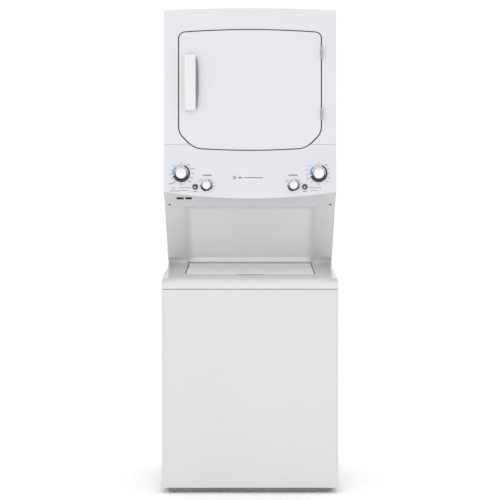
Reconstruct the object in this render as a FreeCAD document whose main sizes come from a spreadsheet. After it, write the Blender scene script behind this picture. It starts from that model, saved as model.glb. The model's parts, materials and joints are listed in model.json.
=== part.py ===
"""Stacked washer and dryer: a top-loading washer with a front-loading dryer above it in one cabinet.

Row frame: millimetres, +X to the viewer's right, +Y to the back, +Z up. The origin is on the floor, under the
middle of the whole box. Depths are given from the washer's front face with at(), heights from the floor.
"""

import FreeCAD, Part

import math
import os

import Sketcher

V = FreeCAD.Vector
doc = FreeCAD.newDocument("washer_dryer_stack")
sheet = doc.addObject("Spreadsheet::Sheet", "dims")

DRIVING = [
    ("cab_width", 683.0, "width of both cabinets"),
    ("cab_depth", 748.0, "washer front face to rear panel"),
    ("collar_length", 30.0, "exhaust collar behind the rear panel"),
    ("gauge", 1.2, "sheet steel thickness"),
    ("wall", 2.4, "moulded wall thickness"),
    ("base_height", 24.0, "top of the base rails"),
    ("front_bottom", 21.5, "lower edge of the washer front panel"),
    ("seam_height", 790.0, "joint between front panel and top cover"),
    ("waist_height", 889.0, "back of the deck, where the dryer stands"),
    ("waist_depth", 432.0, "front face to the foot of the sloping panel"),
    ("brow_height", 1135.0, "top of the sloping panel"),
    ("brow_depth", 190.0, "front face to the top of the sloping panel"),
    ("lip_height", 1175.0, "front edge of the brow flange"),
    ("lip_depth", 128.0, "front face to the front edge of the brow flange"),
    ("dryer_front", 133.0, "front face to the dryer front at its sides"),
    ("dryer_bow", 16.0, "how far the dryer front bulges in the middle"),
    ("dryer_seam", 1358.0, "joint between console and dryer front"),
    ("console_bottom", 1144.0, "lowest point of the console"),
    ("cab_height", 1892.0, "height of the dryer at its sides"),
    ("crown", 5.0, "rise of the dryer front's top edge in the middle"),
    ("door_half", 281.2, "half width of the dryer door"),
    ("door_top", 1811.0, "highest point of the dryer door"),
    ("door_bottom", 1336.0, "lowest point of the dryer door"),
    ("door_gap", 2.5, "gap round the dryer door"),
    ("lid_half", 254.0, "half width of the washer lid"),
    ("lid_front", 118.0, "front face to the front edge of the lid"),
    ("lid_back", 427.0, "front face to the back edge of the lid"),
    ("tub_depth", 345.0, "front face to the tub axis"),
    ("tub_radius", 282.0, "outside of the outer tub"),
    ("basket_radius", 262.0, "outside of the wash basket"),
    ("drum_radius", 318.0, "outside of the dryer drum"),
    ("drum_height", 1545.0, "height of the drum axis"),
    ("rotor_height", 1120.0, "height of the dryer motor axis"),
    ("rotor_side", 60.0, "motor axis, to the left of the middle"),
    ("duct_radius", 50.4, "outside of the exhaust collar"),
    ("knob_height", 1243.0, "height of the cycle knobs"),
    ("knob_side", 271.0, "cycle knobs from the middle"),
    ("dial_height", 1196.0, "height of the small knobs"),
    ("dial_side", 171.7, "small knobs from the middle"),
    ("start_height", 1190.0, "height of the start buttons"),
    ("start_side", 216.0, "start buttons from the middle"),
]


class Size:
    """A length that keeps its number and the spreadsheet expression that it comes from."""

    def __init__(self, value, text):
        self.value = float(value)
        self.text = text

    def __add__(self, other):
        other = size(other)
        return Size(self.value + other.value, f"({self.text} + {other.text})")

    def __sub__(self, other):
        other = size(other)
        return Size(self.value - other.value, f"({self.text} - {other.text})")

    def __mul__(self, number):
        return Size(self.value * number, f"({self.text} * {number:.9g})")

    def __truediv__(self, number):
        return self * (1.0 / number)

    def __neg__(self):
        return self * -1.0

    def __radd__(self, other):
        return size(other) + self

    def __rsub__(self, other):
        return size(other) - self

    def __rmul__(self, number):
        return self * number


def size(value):
    return value if isinstance(value, Size) else Size(value, f"({float(value):.9g})")


def fill_sheet():
    """Writes the driving dimensions and returns them as an alias to Size dictionary."""
    sizes = {}
    for row, (alias, value, note) in enumerate(DRIVING, start=1):
        sheet.set(f"A{row}", note)
        sheet.set(f"B{row}", str(value))
        sheet.setAlias(f"B{row}", alias)
        sizes[alias] = Size(value, f"dims.{alias}")
    doc.recompute()
    return sizes


D = fill_sheet()
NODES = []
HALF = D["cab_width"] / 2
FRONT = (D["cab_depth"] + D["collar_length"]) * -0.5
GAUGE = D["gauge"]
WALL = D["wall"]


def at(depth):
    """The row's Y for a depth behind the washer's front face."""
    return FRONT + depth


def bind(thing, prop, value):
    value = size(value)
    thing.setExpression(prop, value.text)


def move(thing, x=0, y=0, z=0):
    for axis, value in zip("xyz", (x, y, z)):
        bind(thing, f"Placement.Base.{axis}", value)
    return thing


def node(label, thing):
    """Names a finished sub-part; the label is its file's name."""
    thing.Label = label
    NODES.append(thing)
    return thing


def box(name, x, y, z):
    """A block between two x, two y and two z values."""
    block = doc.addObject("Part::Box", name)
    for prop, (low, high) in zip(("Length", "Width", "Height"), (x, y, z)):
        bind(block, prop, size(high) - low)
    return move(block, x[0], y[0], z[0])


TURNS = {
    "z": FreeCAD.Rotation(),
    "y": FreeCAD.Rotation(V(1, 0, 0), -90),
    "-y": FreeCAD.Rotation(V(1, 0, 0), 90),
    "x": FreeCAD.Rotation(V(0, 1, 0), 90),
}


def rod(name, radius, length, x, y, z, axis="z"):
    """A cylinder that starts at a point and runs along an axis."""
    cylinder = doc.addObject("Part::Cylinder", name)
    cylinder.Placement = FreeCAD.Placement(V(), TURNS[axis])
    bind(cylinder, "Radius", radius)
    bind(cylinder, "Height", length)
    return move(cylinder, x, y, z)


def fuse(name, *things):
    union = doc.addObject("Part::MultiFuse", name)
    union.Shapes = list(things)
    return union


def cut(name, base, *tools):
    result = doc.addObject("Part::Cut", name)
    result.Base = base
    result.Tool = tools[0] if len(tools) == 1 else fuse(name + "_tools", *tools)
    return result


def common(name, first, second):
    result = doc.addObject("Part::MultiCommon", name)
    result.Shapes = [first, second]
    return result


def gather(name, *things):
    """Separate solids kept together in one node."""
    group = doc.addObject("Part::Compound", name)
    group.Links = list(things)
    return group


def tube(name, outer, inner, length, x, y, z, axis="z"):
    shell = rod(name + "_out", outer, length, x, y, z, axis)
    return cut(name, shell, rod(name + "_in", inner, length, x, y, z, axis))


def fillet(name, base, radius, wanted):
    """Rounds the edges of a Part object for which wanted(edge) is true."""
    doc.recompute()
    rounded = doc.addObject("Part::Fillet", name)
    rounded.Base = base
    picked = [i for i, edge in enumerate(base.Shape.Edges, start=1) if wanted(edge)]
    rounded.Edges = [(i, size(radius).value, size(radius).value) for i in picked]
    return rounded


def runs_along(edge, axis):
    """True for a straight edge along X, Y or Z."""
    if edge.Curve.TypeId != "Part::GeomLine":
        return False
    direction = edge.tangentAt(edge.FirstParameter)
    return abs(abs(getattr(direction, axis)) - 1) < 1e-6


# ---------------------------------------------------------------------------------------------------------
# Sketched shapes. An outline is a list of points in turn; a point may carry (radius, side), and then the edge
# that leaves it is an arc with its centre on the left (side 1) or right (side -1) of the way it goes.
# ---------------------------------------------------------------------------------------------------------


def arc_centre(start, end, radius, side):
    run = end - start
    middle = (start + end) * 0.5
    rise = math.sqrt(max(radius**2 - (run.Length / 2) ** 2, 0.0))
    return middle + V(-run.y, run.x, 0).normalize() * rise * side


def draw(sketch, outline):
    """Draws a closed outline and ties each corner and radius to its expression."""
    points = [V(size(p[0]).value, size(p[1]).value, 0) for p in outline]
    count = len(outline)
    heads = []
    for i, corner in enumerate(outline):
        start, end = points[i], points[(i + 1) % count]
        if len(corner) == 2:
            sketch.addGeometry(Part.LineSegment(start, end), False)
            heads.append((1, 2))
            continue
        radius, side = corner[2]
        centre = arc_centre(start, end, size(radius).value, side)
        first, last = (start, end) if side > 0 else (end, start)
        angles = [math.atan2(p.y - centre.y, p.x - centre.x) for p in (first, last)]
        circle = Part.Circle(centre, V(0, 0, 1), size(radius).value)
        sketch.addGeometry(Part.ArcOfCircle(circle, *angles), False)
        heads.append((1, 2) if side > 0 else (2, 1))
    for i in range(count):
        j = (i + 1) % count
        sketch.addConstraint(Sketcher.Constraint("Coincident", i, heads[i][1], j, heads[j][0]))
    for i, corner in enumerate(outline):
        tie(sketch, i, heads[i][0], "DistanceX", size(corner[0]), -2)
        tie(sketch, i, heads[i][0], "DistanceY", size(corner[1]), -1)
        if len(corner) == 3:
            radius = size(corner[2][0])
            index = sketch.addConstraint(Sketcher.Constraint("Radius", i, radius.value))
            sketch.setExpression(f"Constraints[{index}]", radius.text)


def tie(sketch, edge, end, kind, value, axis_line):
    """Fixes one coordinate of an edge's end, on the axis itself where the coordinate is nothing."""
    if abs(value.value) < 1e-9:
        sketch.addConstraint(Sketcher.Constraint("PointOnObject", edge, end, axis_line))
        return
    index = sketch.addConstraint(Sketcher.Constraint(kind, -1, 1, edge, end, value.value))
    sketch.setExpression(f"Constraints[{index}]", value.text)


def sketch_in(body, plane, outline, offset):
    sketch = body.newObject("Sketcher::SketchObject", body.Name + "_sketch")
    support = next(f for f in body.Origin.OriginFeatures if f.Role == plane + "_Plane")
    sketch.AttachmentSupport = [(support, "")]
    sketch.MapMode = "FlatFace"
    bind(sketch, "AttachmentOffset.Base.z", offset)
    draw(sketch, outline)
    return sketch


def prism(name, plane, outline, start, end, corners=()):
    """An outline on XY, XZ or YZ, padded from start to end along the third axis. corners lists
    (radius, [points]) for the edges along that axis to round."""
    body = doc.addObject("PartDesign::Body", name)
    start, end = size(start), size(end)
    backwards = plane == "XZ"
    sketch = sketch_in(body, plane, outline, -start if backwards else start)
    pad = body.newObject("PartDesign::Pad", name + "_pad")
    pad.Profile = sketch
    pad.Reversed = backwards
    bind(pad, "Length", end - start)
    tip = pad
    for radius, points in corners:
        tip = round_corners(body, tip, plane, radius, points)
    return body


def round_corners(body, tip, plane, radius, points):
    doc.recompute()
    flat = [(size(u).value, size(v).value) for u, v in points]
    names = []
    for i, edge in enumerate(tip.Shape.Edges, start=1):
        if len(edge.Vertexes) != 2:
            continue
        a, b = (vertex.Point for vertex in edge.Vertexes)
        pair = {"XY": (a.x, a.y, b.x, b.y), "XZ": (a.x, a.z, b.x, b.z), "YZ": (a.y, a.z, b.y, b.z)}[plane]
        if math.dist(pair[:2], pair[2:]) > 1e-4:
            continue
        if any(math.dist(pair[:2], p) < 1e-3 for p in flat):
            names.append(f"Edge{i}")
    rounded = body.newObject("PartDesign::Fillet", body.Name + "_round")
    rounded.Base = (tip, names)
    bind(rounded, "Radius", radius)
    body.Tip = rounded
    return rounded


def turned(name, outline, x=0, y=0, z=0, axis="z"):
    """A profile of (radius, height) points turned a full circle, then stood on an axis."""
    body = doc.addObject("PartDesign::Body", name)
    sketch = sketch_in(body, "XZ", outline, 0)
    revolution = body.newObject("PartDesign::Revolution", name + "_turn")
    revolution.Profile = sketch
    revolution.ReferenceAxis = (sketch, ["V_Axis"])
    revolution.Angle = 360.0
    body.Placement = FreeCAD.Placement(V(), TURNS[axis])
    return move(body, x, y, z)


def lofted(name, sections, ruled=True):
    """A solid through outlines on XY planes: sections is a list of (outline, height)."""
    body = doc.addObject("PartDesign::Body", name)
    sketches = [sketch_in(body, "XY", outline, height) for outline, height in sections]
    loft = body.newObject("PartDesign::AdditiveLoft", name + "_loft")
    loft.Profile = sketches[0]
    loft.Sections = sketches[1:]
    loft.Ruled = ruled
    return body


def rectangle(u, v):
    return [(u[0], v[0]), (u[1], v[0]), (u[1], v[1]), (u[0], v[1])]


def bow_radius(half, rise):
    return (half**2 + rise**2) / (2 * rise)


# ---------------------------------------------------------------------------------------------------------
# Washer cabinet, base and feet
# ---------------------------------------------------------------------------------------------------------
ROD_SIDE = 262.0
ROD_DEPTHS = (75.0, 615.0)
BRACKET_TOP = 743.0
VALVE_SIDE = -170.0
OUTLET_SIDE = 175.0
OUTLET_HEIGHT = 735.0


def each_rod():
    for side in (-1, 1):
        for depth in ROD_DEPTHS:
            yield side * ROD_SIDE, at(depth)


def washer_cabinet():
    low, high = D["base_height"], D["seam_height"] - 0.5
    inside = HALF - GAUGE
    outer = box("wrap_out", (-HALF, HALF), (at(17), at(D["cab_depth"])), (low, high))
    inner = box("wrap_in", (-inside, inside), (at(10), at(D["cab_depth"] - GAUGE)), (low - 1, high + 1))
    pieces = [cut("wrap", outer, inner)]
    for side in (-1, 1):
        edges = sorted([inside * side, (inside - 20) * side], key=lambda s: s.value)
        pieces.append(box("front_flange", edges, (at(17), at(17 + GAUGE)), (low, high)))
        reach = sorted([inside * side, (inside - 105) * side], key=lambda s: s.value)
        for depths in ((17 + GAUGE, size(105)), (size(585), D["cab_depth"] - GAUGE)):
            span = (at(depths[0]), at(depths[1]))
            pieces.append(box("rod_bracket", reach, span, (BRACKET_TOP - 3, BRACKET_TOP)))
    holes = [rod("rod_hole", 4.05, 10, x, y, BRACKET_TOP - 6) for x, y in each_rod()]
    back = (at(D["cab_depth"] - 10), at(D["cab_depth"] + 10))
    holes.append(box("valve_window", (VALVE_SIDE - 50, VALVE_SIDE + 50), back, (705, 765)))
    holes.append(rod("outlet_hole", 14.2, 20, OUTLET_SIDE, back[0], OUTLET_HEIGHT, "y"))
    node("washer_cabinet", cut("cabinet", fuse("cabinet_body", *pieces), *holes))


def washer_front_panel():
    low, high = D["front_bottom"], D["seam_height"] - 1.5
    block = box("front_out", (-HALF, HALF), (at(0), at(16)), (low, high))
    doc.recompute()
    front = at(0).value

    def is_front(edge):
        return all(abs(v.Y - front) < 1e-6 for v in edge.Vertexes)

    soft = fillet("front_soft", block, 9, lambda e: is_front(e) and runs_along(e, "z"))
    inside = HALF - GAUGE
    hollow = prism(
        "front_in",
        "XY",
        rectangle((-inside, inside), (at(GAUGE), at(20))),
        low + GAUGE,
        high - GAUGE,
        [(8, [(-inside, at(GAUGE)), (inside, at(GAUGE))])],
    )
    node("washer_front_panel", cut("front_panel", soft, hollow))


def base_frame():
    top = D["base_height"]
    rails = box("rails_out", (-318, 318), (at(42), at(735)), (9, top))
    middle = box("rails_in", (-278, 278), (at(82), at(695)), (5, top + 5))
    toe = prism(
        "toe_strip",
        "XZ",
        rectangle((-318, 318), (2.5, top)),
        at(38),
        at(42),
        [(6, [(-318, 2.5), (318, 2.5)])],
    )
    frame = fuse("rails", cut("rail_ring", rails, middle), toe)
    stems = [rod("stem_hole", 5.05, 30, x, y, 0) for _, x, y in each_foot()]
    node("base_frame", cut("base", frame, *stems))


def each_foot():
    for end, depth in (("front", 64), ("back", 715)):
        for side, x in (("left", -298), ("right", 298)):
            yield f"foot_{end}_{side}", x, at(depth)


def levelling_feet():
    profile = [(0, 0), (16, 0), (18, 2), (18, 5), (14, 7), (5, 7), (5, 40), (0, 40)]
    for label, x, y in each_foot():
        node(label, turned(label + "_body", profile, x, y))


# ---------------------------------------------------------------------------------------------------------
# Deck: top cover and lid share one side profile
# ---------------------------------------------------------------------------------------------------------
DECK_ROLL = 24.0
DECK_CROWN = 4000.0
DECK_SWEEP = 120.0
HINGE_DEPTH = 422.0
HINGE_HEIGHT = 879.5


def deck_outline(inset, bottom):
    """Side profile of the deck, drawn inset by a wall thickness; bottom is its lower edge."""
    back = D["cab_depth"] - inset
    rear = D["waist_height"] - inset
    return [
        (at(size(0) + inset), bottom),
        (at(back), bottom),
        (at(back), rear),
        (at(D["waist_depth"]), rear, (size(DECK_SWEEP) + inset, -1)),
        (at(385), size(874.5) - inset, (size(DECK_CROWN) - inset, 1)),
        (at(22), size(831.5) - inset, (size(DECK_ROLL), 1)),
        (at(size(0) + inset), size(808) - inset),
    ]


def washer_top_cover():
    seam = D["seam_height"]
    inside = HALF - WALL
    skin = prism("deck_out", "YZ", deck_outline(0, seam), -HALF, HALF)
    hollow = prism("deck_in", "YZ", deck_outline(WALL, seam - 5), -inside, inside)
    shell = cut("deck_shell", skin, hollow)
    solid = prism("deck_solid", "YZ", deck_outline(0, seam), -HALF, HALF)
    opening = D["lid_half"] + 2
    ends = (D["lid_front"] - 2, D["waist_depth"] + 0.5)
    seat = [
        (at(ends[0] - WALL), 821),
        (at(ends[1] + WALL), 851),
        (at(ends[1] + WALL), 900),
        (at(ends[0] - WALL), 900),
    ]
    rim = prism("seat_block", "YZ", seat, -(opening + WALL), opening + WALL)
    whole = fuse("deck_whole", shell, common("seat", rim, solid))
    pocket = [
        (at(ends[0]), 823.6),
        (at(ends[1]), 853.2),
        (at(ends[1]), 900),
        (at(ends[0]), 900),
    ]
    corners = [(at(ends[0]), 823.6)]
    lid_pocket = prism("lid_pocket", "YZ", pocket, -opening, opening, [(4, corners)])
    access = box("tub_access", (-238, 238), (at(138), at(408)), (780, 900))
    pins = rod("hinge_bores", 2.56, 2 * 262.0, -262, at(HINGE_DEPTH), HINGE_HEIGHT, "x")
    node("washer_top_cover", cut("top_cover", whole, lid_pocket, access, pins))


def washer_lid():
    half = D["lid_half"]
    front, back = D["lid_front"], D["lid_back"]
    solid = prism("lid_solid", "YZ", deck_outline(0, D["seam_height"]), -half, half)
    slab = [(at(front), 833), (at(back), 866), (at(back), 900), (at(front), 900)]
    body = common("lid_body", solid, prism("lid_slab", "YZ", slab, -half, half))
    thin = GAUGE
    inner = prism("lid_under", "YZ", deck_outline(thin, D["seam_height"] - 5), -(half - thin), half - thin)
    span = (at(front + 14), at(back - thin))
    hollow = common("lid_hollow", inner, box("lid_span", (-250, 250), span, (800, 900)))
    grip_half, grip_deep = 85.0, 10.0
    grip_radius = bow_radius(grip_half, grip_deep)
    grip = rod("grip", grip_radius, 200, 0, at(front + grip_deep - grip_radius), 750)
    shell = cut("lid_shell", body, hollow, grip)
    pins = [rod("lid_pin", 2.5, 16, x, at(HINGE_DEPTH), HINGE_HEIGHT, "x") for x in (half - 10, -half - 6)]
    node("washer_lid", fuse("lid", shell, *pins))


# ---------------------------------------------------------------------------------------------------------
# Tub, basket, agitator and drive, all on the tub axis
# ---------------------------------------------------------------------------------------------------------
TUB_Y = at(D["tub_depth"])
TUB_LOW = 255.0
EAR_LOW, EAR_HIGH = 370.0, 390.0
BELT_Z = 145.0
MOTOR_X, MOTOR_BACK = -165.0, 60.0
PUMP_X, PUMP_BACK = 175.0, -15.0


def outer_tub():
    radius = D["tub_radius"]
    inner = radius - 3
    low = TUB_LOW
    profile = [
        (12, low),
        (radius - 12, low),
        (radius, low + 12),
        (radius, 745),
        (inner, 745),
        (inner, low + 14),
        (inner - 10, low + 4),
        (12, low + 4),
    ]
    shell = turned("tub_shell", profile, 0, TUB_Y)
    arms, holes = [], []
    for x, y in each_rod():
        reach = math.hypot(x, y.value - TUB_Y.value)
        angle = math.degrees(math.atan2(y.value - TUB_Y.value, x))
        arm = doc.addObject("Part::Box", "tub_arm")
        bind(arm, "Length", size(reach) - radius + 4)
        bind(arm, "Width", 30)
        bind(arm, "Height", EAR_HIGH - EAR_LOW)
        turn = FreeCAD.Rotation(V(0, 0, 1), angle)
        start = turn.multVec(V(radius.value - 4, -15, 0))
        arm.Placement = FreeCAD.Placement(start, turn)
        move(arm, start.x, TUB_Y + start.y, EAR_LOW)
        arms += [arm, rod("tub_boss", 20, EAR_HIGH - EAR_LOW, x, y, EAR_LOW)]
        holes.append(rod("boss_hole", 6, 60, x, y, EAR_LOW - 20))
    inside = rod("tub_inside", inner, 400, 0, TUB_Y, TUB_LOW + 20)
    ears = cut("ears", fuse("arms", *arms), inside, *holes)
    node("outer_tub", fuse("tub", shell, ears))


def tub_ring():
    radius = D["tub_radius"]
    profile = [
        (205, 758),
        (radius - 6, 745),
        (radius + 2, 745),
        (radius + 2, 752),
        (212, 764),
        (210, 772),
        (205, 772),
    ]
    node("tub_ring", turned("tub_ring_body", profile, 0, TUB_Y))


def wash_basket():
    radius = D["basket_radius"]
    profile = [
        (11.96, 262),
        (20, 262),
        (20, 284),
        (90, 284),
        (110, 292),
        (radius - 20, 292),
        (radius, 310),
        (radius, 705),
        (radius - 1.5, 705),
        (radius - 1.5, 311),
        (radius - 21, 293.5),
        (109, 293.5),
        (89, 286),
        (20, 286),
        (20, 296),
        (11.96, 296),
    ]
    node("wash_basket", turned("basket_body", profile, 0, TUB_Y))


def balance_ring():
    profile = [(224, 712), (230, 705), (264, 705), (266, 708), (266, 735), (262, 738), (230, 738), (224, 732)]
    node("balance_ring", turned("ring_body", profile, 0, TUB_Y))


def agitator():
    outer = [(190, 300), (190, 306), (120, 322), (70, 352), (46, 400), (38, 640), (34, 694), (24, 704), (0, 706)]
    inner = [(0, 700), (9, 700), (9, 400), (40, 398), (64, 350), (117, 318), (186, 303), (186, 300)]
    column = turned("agitator_column", outer + inner, 0, TUB_Y)
    vanes = []
    for quarter in range(4):
        fin = doc.addObject("Part::Wedge", "vane")
        fin.Xmin, fin.Xmax, fin.X2min, fin.X2max = 44.0, 176.0, 44.0, 62.0
        fin.Ymin, fin.Ymax = 0.0, 100.0
        fin.Zmin, fin.Zmax, fin.Z2min, fin.Z2max = -3.5, 3.5, -2.0, 2.0
        stand = FreeCAD.Rotation(V(1, 0, 0), 90)
        turn = FreeCAD.Rotation(V(0, 0, 1), 45 + 90 * quarter)
        fin.Placement = FreeCAD.Placement(V(), turn.multiply(stand))
        vanes.append(move(fin, 0, TUB_Y, 309))
    core = turned("agitator_core", [(0, 280), (180, 280), (180, 302), (64, 351), (40, 398), (0, 398)], 0, TUB_Y)
    fins = cut("fins", fuse("fin_set", *vanes), core, rod("fin_bore", 40, 400, 0, TUB_Y, 300))
    node("agitator", fuse("agitator_whole", column, fins))


def drive_shaft():
    node("drive_shaft", rod("drive_shaft_rod", 9, 470, 0, TUB_Y, 228))


def gearcase():
    profile = [(0, 172), (12.06, 172), (12.06, 160), (62, 160), (66, 240), (110, 245), (110, TUB_LOW)]
    profile += [(9.06, TUB_LOW), (9.06, 226), (0, 226)]
    spigot = tube("spigot", 11.9, 9.06, 43, 0, TUB_Y, TUB_LOW)
    node("gearcase", fuse("gearcase_body", turned("case", profile, 0, TUB_Y), spigot))


def drive_pulley():
    wheel = [(0, 170), (0, BELT_Z - 4), (86, BELT_Z - 4), (89, BELT_Z - 1), (85, BELT_Z), (85, BELT_Z + 8)]
    wheel += [(89, BELT_Z + 9), (86, BELT_Z + 11), (12, BELT_Z + 11), (12, 170)]
    node("drive_pulley", turned("drive_pulley_body", wheel, 0, TUB_Y))


def washer_motor():
    y = TUB_Y + MOTOR_BACK
    profile = [(8.06, 165), (60, 165), (66, 171), (66, 238), (40, 246), (40, TUB_LOW), (8.06, TUB_LOW)]
    motor = turned("motor_body", profile, MOTOR_X, y)
    node("washer_motor", motor)


def washer_motor_pulley():
    low = BELT_Z - 2
    wheel = [(0, low), (23, low), (23, BELT_Z), (20, BELT_Z), (20, BELT_Z + 8), (23, BELT_Z + 8)]
    wheel += [(23, BELT_Z + 10), (8, BELT_Z + 10), (8, 245), (0, 245)]
    node("washer_motor_pulley", turned("small_pulley", wheel, MOTOR_X, TUB_Y + MOTOR_BACK))


def belt_loop(name, big, big_radius, small, small_radius, thick, wide, place):
    """A flat belt round two pulleys whose centres are points of a plane; place turns it into the row."""

    def loop(extra):
        r1, r2 = big_radius + extra, small_radius + extra
        run = small - big
        along = math.atan2(run.y, run.x)
        open_angle = math.acos((r1 - r2) / run.Length)
        corners = []
        for centre, radius, sign in ((big, r1, 1), (small, r2, 1), (small, r2, -1), (big, r1, -1)):
            a = along + sign * open_angle
            corners.append(centre + V(math.cos(a), math.sin(a), 0) * radius)
        far_big = big - V(math.cos(along), math.sin(along), 0) * r1
        far_small = small + V(math.cos(along), math.sin(along), 0) * r2
        edges = [
            Part.LineSegment(corners[0], corners[1]).toShape(),
            Part.Arc(corners[1], far_small, corners[2]).toShape(),
            Part.LineSegment(corners[2], corners[3]).toShape(),
            Part.Arc(corners[3], far_big, corners[0]).toShape(),
        ]
        return Part.Face(Part.Wire(edges))

    gap = 0.3
    ring = loop(gap + thick).cut(loop(gap)).extrude(V(0, 0, wide))
    belt = doc.addObject("Part::Feature", name)
    belt.Shape = ring
    belt.Placement = place
    return belt


def washer_belt():
    big = V(0, 0, 0)
    small = V(MOTOR_X, MOTOR_BACK, 0)
    place = FreeCAD.Placement(V(0, TUB_Y.value, BELT_Z + 0.5), FreeCAD.Rotation())
    node("washer_belt", belt_loop("washer_belt_loop", big, 85, small, 20, 4, 7, place))


def drain_pump():
    y = TUB_Y + PUMP_BACK
    body = turned("pump_body", [(0, 176), (34, 176), (38, 180), (38, 232), (20, 238), (20, 255), (0, 255)], PUMP_X, y)
    motor = rod("pump_motor", 24, 40, PUMP_X, y, 136)
    outlet = rod("pump_outlet", 13, 50, PUMP_X, y, 205, "y")
    node("drain_pump", fuse("pump", body, motor, outlet))


def drain_hose():
    """Hose from the pump to the cabinet's outlet: along under the tub, up behind it and out."""
    r_out, r_in, bend = 13.0, 10.0, 30.0
    start = V(PUMP_X, (TUB_Y + PUMP_BACK).value + 50.0, 205)
    rise_y = at(685).value
    out_y = rise_y + bend
    turn = math.sqrt(0.5)
    corner_1 = V(PUMP_X, rise_y - bend, 205)
    mid_1 = V(PUMP_X, rise_y - bend + bend * turn, 205 + bend - bend * turn)
    up_1 = V(PUMP_X, rise_y, 205 + bend)
    up_2 = V(PUMP_X, rise_y, OUTLET_HEIGHT - bend)
    mid_2 = V(PUMP_X, out_y - bend * turn, OUTLET_HEIGHT - bend + bend * turn)
    corner_2 = V(PUMP_X, out_y, OUTLET_HEIGHT)
    path = Part.Wire(
        [
            Part.LineSegment(start, corner_1).toShape(),
            Part.Arc(corner_1, mid_1, up_1).toShape(),
            Part.LineSegment(up_1, up_2).toShape(),
            Part.Arc(up_2, mid_2, corner_2).toShape(),
        ]
    )
    rings = [Part.Wire(Part.Circle(start, V(0, 1, 0), r).toShape()) for r in (r_out, r_in)]
    outer, inner = (path.makePipeShell([ring], True, False) for ring in rings)
    hose = doc.addObject("Part::Feature", "hose")
    hose.Shape = outer.cut(inner)
    node("drain_hose", hose)


def drain_outlet():
    start, wall_back = 715, D["cab_depth"]
    profile = [
        (11, start),
        (14, start),
        (14, wall_back),
        (20, wall_back),
        (20, wall_back + 3),
        (13, wall_back + 3),
        (13, wall_back + 25),
        (11, wall_back + 25),
    ]
    node("drain_outlet", turned("outlet", profile, OUTLET_SIDE, at(0), OUTLET_HEIGHT, "y"))


def water_valve():
    back = at(D["cab_depth"])
    x, z = VALVE_SIDE, 735
    plate = box("valve_plate", (x - 49.8, x + 49.8), (back - 12, back), (705.2, 764.8))
    parts = [plate]
    for side in (-30, 30):
        parts.append(rod("valve_nozzle", 13.3, 14, x + side, back, z, "y"))
        parts.append(rod("valve_coil", 16, 40, x + side, back - 50, z, "y"))
    parts.append(box("valve_manifold", (x - 40, x + 40), (back - 66, back - 48), (723, 747)))
    bores = [rod("nozzle_bore", 8, 22, x + side, back - 6, z, "y") for side in (-30, 30)]
    node("water_valve", cut("valve", fuse("valve_body", *parts), *bores))


def suspension_rods():
    profile = [(0, 296), (16, 296), (16, 300), (4, 300), (4, BRACKET_TOP), (9, BRACKET_TOP)]
    profile += [(9, BRACKET_TOP + 5), (6, BRACKET_TOP + 9), (0, BRACKET_TOP + 9)]
    rods = [turned(f"rod_{i}", profile, x, y) for i, (x, y) in enumerate(each_rod())]
    node("suspension_rods", gather("rods", *rods))


def suspension_springs():
    springs = [tube(f"spring_{i}", 16, 12, EAR_LOW - 300, x, y, 300) for i, (x, y) in enumerate(each_rod())]
    node("suspension_springs", gather("springs", *springs))


# ---------------------------------------------------------------------------------------------------------
# Dryer cabinet
# ---------------------------------------------------------------------------------------------------------
SIDE_FRONT = 157.2
OPEN_X, OPEN_LOW, OPEN_HIGH, OPEN_ROUND = 205.0, 1395.0, 1745.0, 70.0
FRONT_BACK = 156.0
HINGE_X, HINGE_Y = 285.5, 121.0
HINGE_ZS = (1722.3, 1479.5)
HINGE_LONG = 50.0


def dryer_sides():
    top = D["cab_height"] - 8
    lip = D["lip_height"] - 4.4
    outline = [
        (at(D["waist_depth"] + 2), D["waist_height"] + 0.5),
        (at(D["cab_depth"]), D["waist_height"] + 0.5),
        (at(D["cab_depth"]), top),
        (at(SIDE_FRONT), top),
        (at(SIDE_FRONT), lip),
        (at(D["lip_depth"] + 7), lip),
        (at(D["brow_depth"] + 1.5), D["brow_height"] + 0.7),
    ]
    inside = HALF - GAUGE
    node("dryer_side_left", prism("side_left", "YZ", outline, -HALF, -inside))
    node("dryer_side_right", prism("side_right", "YZ", outline, inside, HALF))


def dryer_rear_panel():
    half = HALF - GAUGE
    depth = (at(D["cab_depth"] - GAUGE), at(D["cab_depth"]))
    sheet_metal = box("rear", (-half, half), depth, (D["waist_height"] + 0.5, D["cab_height"] - 8.5))
    holes = [
        rod("exhaust_hole", D["duct_radius"] + 1.4, 20, EXHAUST_X, depth[0] - 8, EXHAUST_Z, "y"),
        rod("power_hole", 14.3, 20, 230, depth[0] - 8, 1010, "y"),
    ]
    for row in range(8):
        z = 1290 + row * 14
        holes.append(box("rear_louvre", (150, 290), (depth[0] - 5, depth[1] + 5), (z, z + 6)))
        holes.append(box("rear_louvre", (-290, -150), (depth[0] - 5, depth[1] + 5), (z, z + 6)))
    node("dryer_rear_panel", cut("rear_panel", sheet_metal, *holes))


def dryer_top_panel():
    low, high = D["cab_height"] - 8, D["cab_height"]
    block = box("top_out", (-HALF, HALF), (at(SIDE_FRONT), at(D["cab_depth"])), (low, high))
    doc.recompute()

    def long_top_edge(edge):
        on_top = all(abs(v.Z - high.value) < 1e-6 for v in edge.Vertexes)
        return on_top and not all(abs(v.Y - at(SIDE_FRONT).value) < 1e-6 for v in edge.Vertexes)

    soft = fillet("top_soft", block, 5, long_top_edge)
    inside = HALF - GAUGE
    span = (at(size(SIDE_FRONT) + GAUGE), at(D["cab_depth"] - GAUGE))
    hollow = box("top_in", (-inside + 4, inside - 4), span, (low - 1, high - GAUGE))
    node("dryer_top_panel", cut("top_panel", soft, hollow))


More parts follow.
